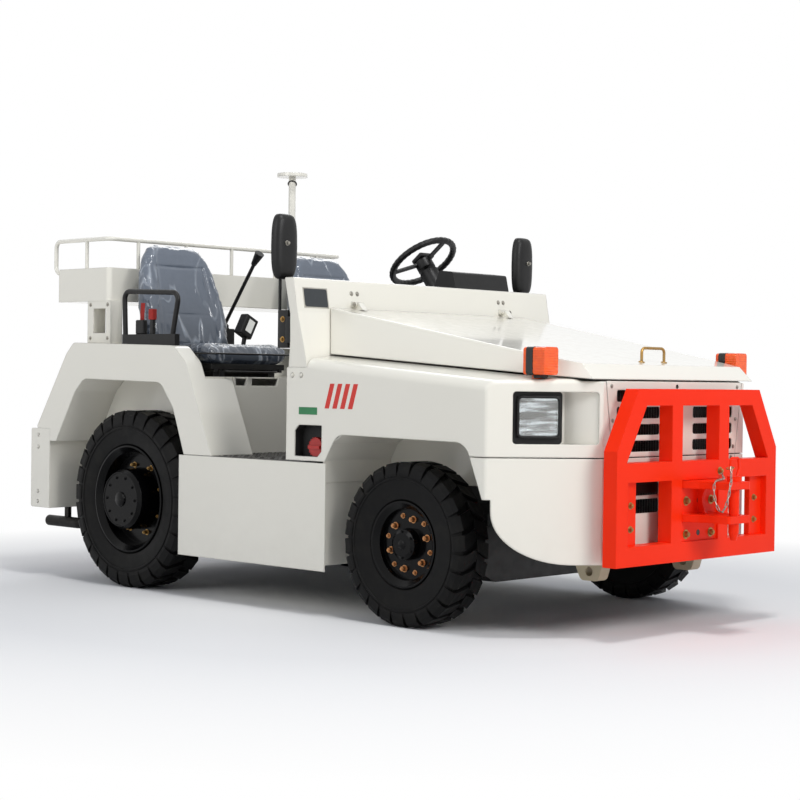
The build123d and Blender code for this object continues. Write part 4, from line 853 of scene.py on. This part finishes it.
class TUG_OT_seats(bpy.types.Operator):
    """Padded seat cushions and backs with welts and seams"""

    bl_idname = "tug.seats"
    bl_label = "Seats"

    def execute(self, context):
        cushion, back = bmesh.new(), bmesh.new()
        stack(cushion, [[at(x, y, z) for y, z in pad_ring(half, 1072, top - PAD_INSET, bolster)]
                        for x, half, top, bolster in CUSHION_ROWS])
        stack(back, [[back_place(depth, y, height) for y, depth in
                      pad_ring(half, rear + PAD_INSET, front - PAD_INSET, bolster)]
                     for height, half, rear, front, bolster in BACK_ROWS])
        cushion, back = (swollen(pad, context.scene.tug_sizes.pad_cap) for pad in (cushion, back))
        creased(cushion, [(at(-1660, y, 1150), at(-1318, y, 1148), 1.0) for y in (-168, 168)]
                + [(at(-1350, -168, 1152), at(-1350, 168, 1152), 0.8)], 0.007)
        creased(back, [(back_place(-6, y, 70), back_place(-8, y * 0.82, 440), 1.0) for y in (-172, 172)]
                + [(back_place(-14, -140, 440), back_place(-14, 140, 440), 0.9),
                   (back_place(-10, -150, 200), back_place(-10, 150, 200), 0.6)], 0.008)
        for side_name, side in SIDES.items():
            for name, mesh, node in (("cushion", cushion, "seat_cushions"), ("backrest", back, "seat_backs")):
                copy = mesh.copy()
                copy.transform(Matrix.Translation((0, side * SEAT_Y * MM, 0)))
                pad = placed(f"{name}_{side_name}", copy, "vinyl", True)
                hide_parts(node)
                smooth = pad.modifiers.new("smooth", "SUBSURF")
                smooth.levels = smooth.render_levels = 1
            welt = [(x, -y) for x, y in WELT] + [(-1288, 0)] + WELT[::-1]
            line = curve_points([at(x, side * SEAT_Y + y, 1106) for x, y in welt], 4)
            piece(f"seat_welts_{side_name}", "trim", [(tube, line, 0.0045, 8)], True)
        return {"FINISHED"}


# Forms and fasteners by their places in millimetres

def box_of(a, b, c, d):
    """Corners of a flat rectangle between two opposite ones."""
    return [(a, b), (c, b), (c, d), (a, d)]


def block(x_low, x_high, y, half, z_low, z_high, bevel):
    """The form of a slab that reaches half to both sides of y; bevel in metres."""
    return slab, at(x_low, y - half, z_low), at(x_high, y + half, z_high), bevel


def thickened(bm, depth):
    """Gives all faces a thickness."""
    bmesh.ops.recalc_face_normals(bm, faces=bm.faces)
    bmesh.ops.solidify(bm, geom=bm.faces[:], thickness=depth)


def spots(xs, ys, zs, direction):
    """Fastener spots at every place of the given x, y and z."""
    return [(at(x, y, z), direction) for x in xs for y in ys for z in zs]


# fasteners on both sides that stand outwards: name, look, slot, x, y, z, nut radius, height, washer, corners
SIDE_BOLTS = [
    ("cowl_rivets", "body", None, (-629, -575), 850, (1012,), 9, 6, 12, 16),
    ("fender_bolts", "body", None, (-2470,), 850, (700, 640, 420, 370), 7, 5, 11),
    ("tray_bolts", "steel", "body_white", (-2145, -2010), 783, (1178, 1340), 6, 5, 10),
    ("hinge_nuts", "steel", None, (-588,), 525, (1324,), 8, 6, 10),
]
# fasteners of guard and hitches: name, look, x, y, z, direction, nut radius, height, washer
GUARD_BOLTS = [
    ("hitch_bolts", "zinc", (862,), (-87, 87), (397, 530), FORWARD, 13, 14, 19),
    ("flange_bolts", "zinc", (844,), (-434, 434), (432, 524), FORWARD, 10, 10, 14),
    ("chain_bolt", "zinc", (871,), (137,), (645,), FORWARD, 11, 12, 16),
    ("rear_hitch_bolts", "guard", (-2546,), (-88, 88), (372, 538), BACKWARD, 12, 10, 17),
]


# Lamps

class TUG_OT_lamps(bpy.types.Operator):
    """Headlights, turn signals and rear lamps"""

    bl_idname = "tug.lamps"
    bl_label = "Lamps"

    def execute(self, context):
        for side_name, side in SIDES.items():
            def glass_place(u, v):
                rib = 1.1 * sin(u * pi * 20) * (0.08 < v < 0.92)
                crown = 5 * (1 - (2 * u - 1) ** 2) * (1 - (2 * v - 1) ** 2)
                return on_facet(135 + 154 * u, 22 - rib - crown, 788 + 147 * v, side)

            def bowl_place(u, v):
                u, v = 2 * u - 1, 2 * v - 1
                dish = 6 * min(1.0, u * u + v * v)
                return on_facet(212 + 76 * u, 33.4 - dish, 861.5 + 72 * v, side)

            glass = piece(f"headlight_glass_{side_name}", "glass",
                          [(sheet, 81, 13, glass_place), (thickened, 0.003)], True)
            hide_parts("headlight_lenses")
            piece(f"headlight_reflector_{side_name}", "reflector", [(sheet, 17, 17, bowl_place)], True)
            outer, inner = ([on_facet(a, depth, z, side) for a, z in box_of(*box)]
                            for depth, box in ((21, (130, 783, 294, 940)), (30, (131, 784, 293, 939))))
            piece(f"headlight_bezel_{side_name}", "trim",
                  [(tube, rounded(outer, 0.022), 0.0055, 10, True), (tube, inner, 0.006, 8, True)], True)
            # black band between the two lenses of the turn signal, and its foot
            ring = rounded([at(536, side * y, z) for y, z in box_of(617.71, 1023.38, 706.29, 1134.62)], 0.016)
            piece(f"signal_band_{side_name}", "black_film", [(prism, ring, (0.034, 0, 0))])
            foot = rounded([at(x, side * y, 1012) for x, y in box_of(552, 640, 596, 684)], 0.012)
            piece(f"signal_foot_{side_name}", "trim", [(prism, foot, (0, 0, 0.0125))])
            # rear lamp: amber end segment and clear lower lens over the red body
            for name, look, near, far, top in (("rear_signal", "amber", 724, 772, 672),
                                               ("reversing_lens", "glass", 664, 720, 612)):
                piece(f"{name}_{side_name}", look,
                      [(slab, at(-2541, side * near, 568), at(-2535, side * far, top), 0.002)])
        return {"FINISHED"}


# Guard, hitch and body fittings

CHAIN_PATH = [(878, 137, 640), (892, 126, 626), (925, 84, 618), (960, 10, 617), (988, -55, 617),
              (1001, -90, 613), (1004, -103, 592), (1009, -105, 552), (1024, -107, 514), (1044, -110, 499),
              (1062, -110, 518), (1071, -102, 562), (1071, -90, 604), (1063, -72, 620), (1052, -56, 622),
              (1046, -48, 642), (1042, -42, 662)]
# chain link in metres: half its width, its bow's height, half its straight part, wire radius, pitch
LINK = (0.0042, 0.0085, 0.0045, 0.0018, 0.0205)


class TUG_OT_guard_fittings(bpy.types.Operator):
    """Bolts, holes, chain and welds of the guard and the hitches"""

    bl_idname = "tug.guard_fittings"
    bl_label = "Guard fittings"

    def execute(self, context):
        for name, look, xs, ys, zs, direction, *sizes in GUARD_BOLTS:
            fasteners(name, look, spots(xs, ys, zs, direction), *sizes)
        half, bow, straight, wire, pitch = LINK
        seed = bmesh.new()
        tube(seed, [(half * sin(a), 0, bow * cos(a) + copysign(straight, cos(a))) for a in circle(14)],
             wire, 6, True)
        mesh = bpy.data.meshes.new("chain link seed")
        seed.to_mesh(mesh)
        seed.free()
        link = bpy.data.objects.new("chain link seed", mesh)
        context.scene.collection.objects.link(link)
        path = bmesh.new()
        verts = [path.verts.new(p) for p in curve_points([at(*p) for p in CHAIN_PATH], 8)]
        for ends in zip(verts, verts[1:]):
            path.edges.new(ends)
        grown("pin_chain", chain_tree(link), {"Pitch": pitch}, path, "steel", True)
        bpy.data.objects.remove(link)
        ring = [at(1030 + 14 * cos(a), -31 + 14 * sin(a), 667 + 4 * sin(a)) for a in circle(20)]
        piece("chain_ring", "zinc", [(tube, ring, 0.0024, 8, True)], True)
        # drilled holes down the middle of the hitch plate, drawn as black discs whose black is painted shade
        hole_shade_disc = [(0, 0.0004), (0.009, 0.0004), (0.0105, 0.0012), (0.012, 0.0002)]
        piece("hitch_holes", "chassis", [(turned, hole_shade_disc, at(862, 0, z), FORWARD, 20) for z in (400, 530)])
        # weld beads where the hitch lips meet their plate, a little wavy
        beads = [[at(863, -112 + 224 * k / 24, z + 0.8 * sin(k * 2.1)) for k in range(25)]
                 for z in (613, 477, 447)]
        piece("hitch_welds", "guard", [(tube, bead, 0.0035, 6) for bead in beads], True)
        return {"FINISHED"}


def cowl_front(y, z):
    """A place on the leaning upper front of the cowl."""
    return at(-604 - (z - 1284) * 26 / 145, y, z)


class TUG_OT_body_fittings(bpy.types.Operator):
    """Rivets, plates, stripes, screws, ribs and mat of the body"""

    bl_idname = "tug.body_fittings"
    bl_label = "Body fittings"

    def execute(self, context):
        for side_name, side in SIDES.items():
            for name, look, slot, xs, y, zs, *sizes in SIDE_BOLTS:
                places = spots(xs, [side * y], zs, (0, side, 0))
                fasteners(f"{name}_{side_name}", look, places, *sizes, slot=slot)
            # plates and stripes on the side wall: name, look, outlines in x and z, thickness
            stripes = [[(x, 874), (x + 26, 874), (x + 58, 978), (x + 32, 978)]
                       for x in (-430, -384, -338, -292)]
            for name, look, outlines, thick in (
                    ("green_plate", "green_plate", [box_of(-586, 846, -475, 877)], 0.0012),
                    ("side_stripes", "stripe", stripes, 0.0006)):
                piece(f"{name}_{side_name}", look, [(prism, [at(x, side * 850, z) for x, z in outline],
                                                     (0, side * thick, 0)) for outline in outlines])
            grille = [(440, 985), (430, 850), (415, 735), (400, 690), (385, 480), (370, 315), (0, 985)]
            fasteners(f"grille_screws_{side_name}", "steel",
                      [(at(750, side * y, z), FORWARD) for y, z in grille], 6, 4, 9, slot="body_white")
        # blank data plate near the cowl's right end: pale rim and rivets round a dark field
        lean = Vector((145, 0, 26)).normalized()
        for name, look, inset, lift in (("data_plate_rim", "data_plate", 0, 0.0012),
                                        ("data_plate", "dark_plate", 5, 0.0016)):
            plate = box_of(-806 + inset, 1300 + inset, -660 - inset, 1388 - inset)
            piece(name, look, [(prism, [cowl_front(y, z) for y, z in plate], lean * lift)])
        fasteners("data_plate_rivets", "steel", [(cowl_front(y, z), lean) for y in (-799, -667)
                                                 for z in (1307, 1381)], 3, 3, 4, 12)
        fasteners("cowl_screws", "steel", [(cowl_front(y, 1372), lean) for y in (-513, -477, 477, 513)],
                  8, 4, 11, 16)

        # black liner of the hollow round the filler: back and sides, open in front
        def liner(bm):
            painted_low_shade, near = ([bm.verts.new(at(x, y, z)) for x, z in (
                (-609.5, 670.5), (-471, 670.5), (-447.5, 694), (-447.5, 800.5), (-586, 800.5), (-609.5, 777))]
                for y in (-800.5, -846))
            skin(bm, [painted_low_shade, near], False)
            bm.faces.new(painted_low_shade)

        piece("filler_liner", "hollow", [(liner,)])
        # black tie that holds the beacon cable to the mast
        tie = [at(-2043 + 22 * cos(a), 447 + 22 * sin(a), 2028 + 14 * cos(a + 0.8)) for a in circle(24)]
        piece("mast_tie", "trim", [(tube, tie, 0.0035, 8, True)], True)
        # ribs round the filler cap, 40.5 mm from its axis
        ribs, half = [], Vector((0.003, 0.012, 0.002))
        for angle in circle(18):
            turn = Matrix.Rotation(angle, 4, "Y")
            middle = at(-497, -826, 709) + turn @ Vector((0, 0, 0.0405))
            ribs.append((slab, middle - half, middle + half, 0.001, turn))
        piece("filler_cap_ribs", "cap", ribs)
        # ribbed mat on the floor of the tray
        piece("tray_mat", "trim", [block(-2382, -2068, 0, 762, 1363.4, 1367, 0.001)])
        piece("tray_mat_ribs", "trim", [block(x, x + 5, 0, 755, 1367, 1369, 0.0007)
                                        for x in range(-2370, -2083, 13)])
        bolts = [(at(-2043 + 55 * cos(a), 447 + 55 * sin(a), 2081), (0, 0, 1)) for a in (0.4, 2.49, 4.59)]
        fasteners("beacon_plate_bolts", "steel", bolts, 6, 4, 9)
        washer = [(0.0, 0.004), (0.011, 0.004), (0.013, 0.002), (0.013, -0.001)]
        piece("handle_washers", "zinc", [(turned, washer, at(628, y, 1083.5), (0.177, 0, 0.984), 18)
                                         for y in (-78, 78)], True, "hood")
        # blank number plate at the rear
        piece("rear_plate", "data_plate", [block(-2535, -2530, 325, 175, 610, 700, 0.0015)])
        fasteners("rear_plate_screws", "steel", spots([-2535], (172, 478), [655], BACKWARD), 5, 3, 7, 16)
        return {"FINISHED"}


# Cab

def dash_place(along, y, out):
    """A place on the rear face of the instrument box: up along it and out of it."""
    slope = atan2(1516 - 1429, -756 + 790)
    return at(-790 + along * cos(slope) - out * sin(slope), y, 1429 + along * sin(slope) + out * cos(slope))


# Mirror shell: distance from its glass and share of its outline there
MIRROR_SHELL = [(-1, 1.0), (10, 1.0), (20, 0.97), (30, 0.89), (37, 0.74), (41, 0.5), (42, 0.2)]
# profiles of a gauge's bezel and face and of the lever's gaiter, in metres
BEZEL = [(0.034, -0.001), (0.034, 0.005), (0.031, 0.007), (0.029, 0.004), (0.029, -0.001)]
FACE = [(0, 0.0016), (0.030, 0.0016), (0.030, 0.0)]
# knobs: how far up the box, steps round, profile in metres
KNOBS = [
    (34, 20, [(0, 0.018), (0.007, 0.018), (0.009, 0.015), (0.009, 0.004), (0.013, 0.002), (0.013, -0.001)]),
    (66, 16, [(0, 0.014), (0.005, 0.014), (0.006, 0.011), (0.008, -0.001)]),
]
GAITER = [(0.040, 0.0), (0.036, 0.010), (0.030, 0.012), (0.032, 0.020), (0.024, 0.024), (0.025, 0.032),
          (0.016, 0.038), (0.0, 0.040)]


def mirror_ring(side, x, wide, high):
    """A ring of the mirror's outline, a rounded rectangle with a waist: share of its width, half height."""
    ring = []
    for angle in circle(64):
        y, z = (copysign(abs(f(angle)) ** 0.42, f(angle)) for f in (cos, sin))
        ring.append(at(x, side * (800 + wide * (66 - 9 * z * z) * y), 1566 + high * z))
    return ring


class TUG_OT_cab_fittings(bpy.types.Operator):
    """Tread plate, gauges, belts, pedals, mirror glass and wheel grip"""

    bl_idname = "tug.cab_fittings"
    bl_label = "Cab fittings"

    def execute(self, context):
        values = {"Length": 0.66, "Width": 1.62, "Pitch": context.scene.tug_sizes.plate_pitch}
        plate = grown("floor_bars", tread_plate_tree(), values, bmesh.new(), "plate")
        plate.data.transform(Matrix.Translation(at(-950, 0, 646.5)))
        self.dash()
        for side_name, side in SIDES.items():
            self.mirror(side_name, side)
            self.belt(side_name, side)
            # slider rails and adjuster handle under each seat
            y = side * SEAT_Y
            bar = curve_points([at(x, y + across, z) for x, across, z in (
                (-1330, -150, 1030), (-1296, -150, 1026), (-1284, -110, 1024), (-1284, 110, 1024),
                (-1296, 150, 1026), (-1330, 150, 1030))], 4)
            rails = [block(-1640, -1320, y + across, 9, 1022, 1034, 0.002) for across in (-200, 200)]
            piece(f"seat_sliders_{side_name}", "chassis", [*rails, (tube, bar, 0.005, 8)], True)
        self.controls()
        return {"FINISHED"}

    def dash(self):
        """Three gauges and four knobs on the instrument box"""
        origin = dash_place(0, 0, 0)
        face, up = ((dash_place(*step) - origin).normalized() for step in ((0, 0, 1), (1, 0, 0)))
        across = up.cross(face).normalized()
        bezels, dials, marks, knobs = [], [], [], []
        for y in (300, 398, 494):
            centre = dash_place(48, y, 0)
            bezels.append((turned, BEZEL, centre, face, 40, True))
            dials.append((turned, FACE, centre, face, 40))
            for angle in (radians(-130 + 26 * k) for k in range(11)):
                ray = up * cos(angle) + across * sin(angle)
                tangent = across * cos(angle) - up * sin(angle)
                tick = [centre + face * 0.0018 + ray * r + tangent * w
                        for r, w in box_of(0.022, -0.0006, 0.027, 0.0006)]
                marks.append((prism, tick, face * 0.0004))
            angle = radians(-70)
            needle = up * cos(angle) + across * sin(angle)
            wide = needle.cross(face).normalized() * 0.0009
            foot = centre + face * 0.0022
            marks.append((prism, [foot - wide, foot + wide, foot + needle * 0.025], face * 0.0005))
        for y in (236, 560):
            knobs += [(turned, profile, dash_place(along, y, 0), face, steps)
                      for along, steps, profile in KNOBS]
        piece("gauge_bezels", "steel", bezels, True)
        piece("gauge_faces", "dial", dials)
        piece("gauge_marks", "ink", marks)
        piece("dash_knobs", "trim", knobs, True)

    def mirror(self, side_name, side):
        """Bulged shell, stalk, bracket, glass and bolts of a mirror"""
        y = side * 800
        rings = [mirror_ring(side, -756 + depth, scale, 75 + 66 * scale) for depth, scale in MIRROR_SHELL]
        stalk = curve_points([at(-768, y, 1150), at(-768, y, 1560), at(-765, y, 1579), at(-752, y, 1583)], 4)
        shell = piece(f"mirror_shell_{side_name}", "trim", [
            (stack, rings), (tube, stalk, 0.007, 12), block(-768, -704, y, 12, 1128, 1292, 0.003),
            block(-706, -672, side * 812, 12, 1150, 1262, 0.003)], True)
        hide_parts("mirrors")
        piece(f"mirror_glass_{side_name}", "mirror",
              [(prism, mirror_ring(side, -758, 0.93, 136.065), (-0.0006, 0, 0))])
        fasteners(f"mirror_nut_{side_name}", "steel", spots([-713.5], [side * 812], [1579], FORWARD),
                  8, 12, 11, 16)
        fasteners(f"mirror_bolts_{side_name}", "zinc",
                  spots([-736], [side * 788], (1165, 1252), (0, -side, 0))
                  + spots([-736], [side * 812], (1165, 1252), (0, side, 0)), 9, 9, 13)

    def belt(self, side_name, side):
        """Webbing down from its reel, red buckle on the outer side, black catch on the inner side"""
        line = curve_points([at(x, side * y, z) for x, y, z in (
            (-1752, 772, 1196), (-1748, 778, 1240), (-1744, 780, 1290), (-1742, 778, 1342))], 5)
        strap = []
        for first, second in zip(line, line[1:]):
            wide = (second - first).normalized().cross(Vector((0, side, 0))).normalized() * 0.015
            strap.append((prism, [first - wide, first + wide, second + wide, second - wide],
                          (0, side * 0.0016, 0)))
        piece(f"belt_{side_name}", "webbing", strap)
        piece(f"belt_buckle_{side_name}", "webbing", [block(-1672, -1640, side * 790, 13, 1262, 1312, 0.004)])
        lean = Matrix.Translation(at(-1650, side * 214, 1246)) @ Matrix.Rotation(radians(side * 28), 4, "X")
        stem = curve_points([at(-1660, side * 224, 1060), at(-1660, side * 226, 1130),
                             at(-1654, side * 218, 1204)], 4)
        piece(f"belt_reel_{side_name}", "trim", [
            block(-1776, -1716, side * 784, 13, 1194, 1262, 0.006),
            block(-1668, -1646, side * 788, 9, 1192, 1264, 0.003),
            (slab, (-0.026, -0.040, -0.052), (0.026, 0.040, 0.052), 0.006, lean), (tube, stem, 0.011, 8)])
        piece(f"catch_label_{side_name}", "ink",
              [(slab, (0.0262, -0.016, -0.030), (0.0270, 0.024, 0.034), 0.0, lean)])

    def controls(self):
        """Grip and hub pad of the steering wheel, signal stalk, pedal rubbers and lever gaiter"""
        centre, tilt = at(-1057, 415, 1578), radians(37.5)
        axis, side_way = Vector((-sin(tilt), 0, cos(tilt))), Vector((0, 1, 0))
        across = axis.cross(side_way)
        # 36 finger grips inside the rim
        grip = [centre + (side_way * cos(a) + across * sin(a)) * (0.1652 - 0.0012 * cos(a * 36))
                for a in circle(144)]
        place = Matrix.Translation(centre) @ Matrix((side_way, across, axis)).transposed().to_4x4()
        piece("wheel_grip", "trim", [(tube, grip, 0.0158, 10, True), (
            slab, (-0.048, -0.036, 0.004), (0.048, 0.036, 0.026), 0.007, place)], True, "steering_wheel")
        stalk = centre - axis * 0.10
        line = curve_points([stalk + side_way * 0.040, stalk + side_way * 0.10,
                             stalk + side_way * 0.16 + axis * 0.012], 5)
        low, high = stalk + Vector((-0.009, 0.155, -0.006)), stalk + Vector((0.009, 0.20, 0.018))
        piece("signal_stalk", "trim", [(tube, line, 0.0045, 8), (slab, low, high, 0.004)], True)
        piece("pedal_ribs", "rubber", [block(-743, -740, y, half, 766 + 14 * k, 774 + 14 * k, 0.001)
                                       for y, half in ((330, 25), (480, 25), (560, 18)) for k in range(6)])
        foot, tip = at(-1895, -160, 1236), at(-1862, -160, 1280)
        piece("lever_gaiter", "rubber", [(turned, GAITER, foot, tip - foot, 24)], True)


# Stage

# place, aim, size, power in watts
LIGHTS = {
    "key": ((7.4, -1.4, 4.8), (0.8, 0.0, 0.6), 3.0, 270),
    "sun": ((2.8, -1.3, 8.0), (-0.6, -0.3, 0.5), 1.6, 205),
    "fill": ((-0.6, -7.5, 4.0), (0.0, 0.0, 0.7), 4.0, 110),
    "back": ((-4.5, 4.0, 5.0), (0.0, 0.0, 0.8), 4.0, 90),
}
# the photo's camera as solved from the part's corners: place in millimetres, yaw, pitch and roll
CAMERA_PLACE = (4962.15, -6054.3, 1007.53)
CAMERA_TURN = (radians(43.61), radians(0.72), radians(0.77))
# the floor fades into the white backdrop between these distances from the middle, in metres
FLOOR_FADE = (2.0, 3.9)


class TUG_OT_stage(bpy.types.Operator):
    """Pale floor, soft lights and the camera"""

    bl_idname = "tug.stage"
    bl_label = "Stage"

    def execute(self, context):
        scene = context.scene
        bm = bmesh.new()
        bmesh.ops.create_grid(bm, x_segments=1, y_segments=1, size=40.0)
        mesh = bpy.data.meshes.new("studio_floor")
        bm.to_mesh(mesh)
        bm.free()
        ground = bpy.data.objects.new("studio_floor", mesh)
        # half a millimetre below the tyres, so that the two never share a face
        ground.location.z = -0.0005
        scene.collection.objects.link(ground)
        paint = bpy.data.materials.new("pale studio floor")
        paint.use_nodes = True
        tree = paint.node_tree
        shader = tree.nodes["Principled BSDF"]
        plug(tree, shader, {"Base Color": linear(scene.tug_colours.floor), "Roughness": 0.9})
        # near the wheels the floor keeps its shadow
        reach = add(tree, VECTOR, add(tree, PLACE), out="Value", operation="LENGTH")
        fade = add(tree, RANGE, reach, *FLOOR_FADE)
        glow = add(tree, "ShaderNodeEmission", linear("#FFFFFF"), 1.0)
        both = add(tree, "ShaderNodeMixShader", fade, shader.outputs[0], glow)
        plug(tree, tree.nodes["Material Output"], {"Surface": both})
        mesh.materials.append(paint)
        # white for the rays that show the backdrop, a weaker cool grey for the light it gives
        scene.world = bpy.data.worlds.new("soft studio")
        scene.world.use_nodes = True
        tree = scene.world.node_tree
        tree.nodes.clear()
        rays = tree.nodes.new("ShaderNodeLightPath").outputs
        seen = add(tree, "MAXIMUM", rays["Is Glossy Ray"], rays["Is Transmission Ray"])
        seen = add(tree, "MAXIMUM", rays["Is Camera Ray"], seen)
        plain, white = (add(tree, "ShaderNodeBackground", linear(colour), strength)
                        for colour, strength in (("#E6EDFB", 0.36), ("#FFFFFF", 1.0)))
        both = add(tree, "ShaderNodeMixShader", seen, plain, white)
        plug(tree, tree.nodes.new("ShaderNodeOutputWorld"), {"Surface": both})
        for name, (place, aim, size, power) in LIGHTS.items():
            lamp = bpy.data.lights.new(name, "AREA")
            lamp.shape = "DISK"
            lamp.size = size
            lamp.energy = power
            thing = bpy.data.objects.new(name, lamp)
            thing.location = place
            thing.rotation_euler = (Vector(aim) - Vector(place)).to_track_quat("-Z", "Y").to_euler()
            scene.collection.objects.link(thing)
        lens = bpy.data.cameras.new("photo")
        lens.lens = scene.tug_sizes.camera_lens
        lens.sensor_width = 36.0
        lens.clip_end = 200.0
        camera = bpy.data.objects.new("photo", lens)
        yaw, pitch, roll = CAMERA_TURN
        ahead = Vector((-sin(yaw) * cos(pitch), cos(yaw) * cos(pitch), -sin(pitch)))
        right = Vector((cos(yaw), sin(yaw), 0))
        above = right.cross(ahead)
        axes = Matrix((right * cos(roll) + above * sin(roll), above * cos(roll) - right * sin(roll), -ahead))
        camera.matrix_world = Matrix.Translation(at(*CAMERA_PLACE)) @ axes.transposed().to_4x4()
        scene.collection.objects.link(camera)
        scene.camera = camera
        scene.view_settings.view_transform = "Standard"
        return {"FINISHED"}


STEPS = [TUG_OT_stage, TUG_OT_paint, TUG_OT_tyres, TUG_OT_wheel_fasteners, TUG_OT_seats, TUG_OT_lamps,
         TUG_OT_guard_fittings, TUG_OT_body_fittings, TUG_OT_cab_fittings]


class TUG_PT_panel(bpy.types.Panel):
    """Lists the sizes, colours and steps of the tug"""

    bl_idname = "TUG_PT_panel"
    bl_label = "Baggage tug"
    bl_space_type = "VIEW_3D"
    bl_region_type = "UI"
    bl_category = "Tug"

    def draw(self, context):
        layout = self.layout
        for group in (context.scene.tug_sizes, context.scene.tug_colours):
            for name in group.bl_rna.properties.keys():
                if name not in ("rna_type", "name"):
                    layout.prop(group, name)
        for step in STEPS:
            layout.operator(step.bl_idname)


CLASSES = [TugColours, TugSizes, *STEPS, TUG_PT_panel]


def register():
    for item in CLASSES:
        bpy.utils.register_class(item)
    bpy.types.Scene.tug_colours = bpy.props.PointerProperty(type=TugColours)
    bpy.types.Scene.tug_sizes = bpy.props.PointerProperty(type=TugSizes)


def unregister():
    del bpy.types.Scene.tug_sizes
    del bpy.types.Scene.tug_colours
    for item in reversed(CLASSES):
        bpy.utils.unregister_class(item)


def main():
    register()
    for step in STEPS:
        group, name = step.bl_idname.split(".")
        getattr(getattr(bpy.ops, group), name)()


if __name__ == "__main__":
    main()
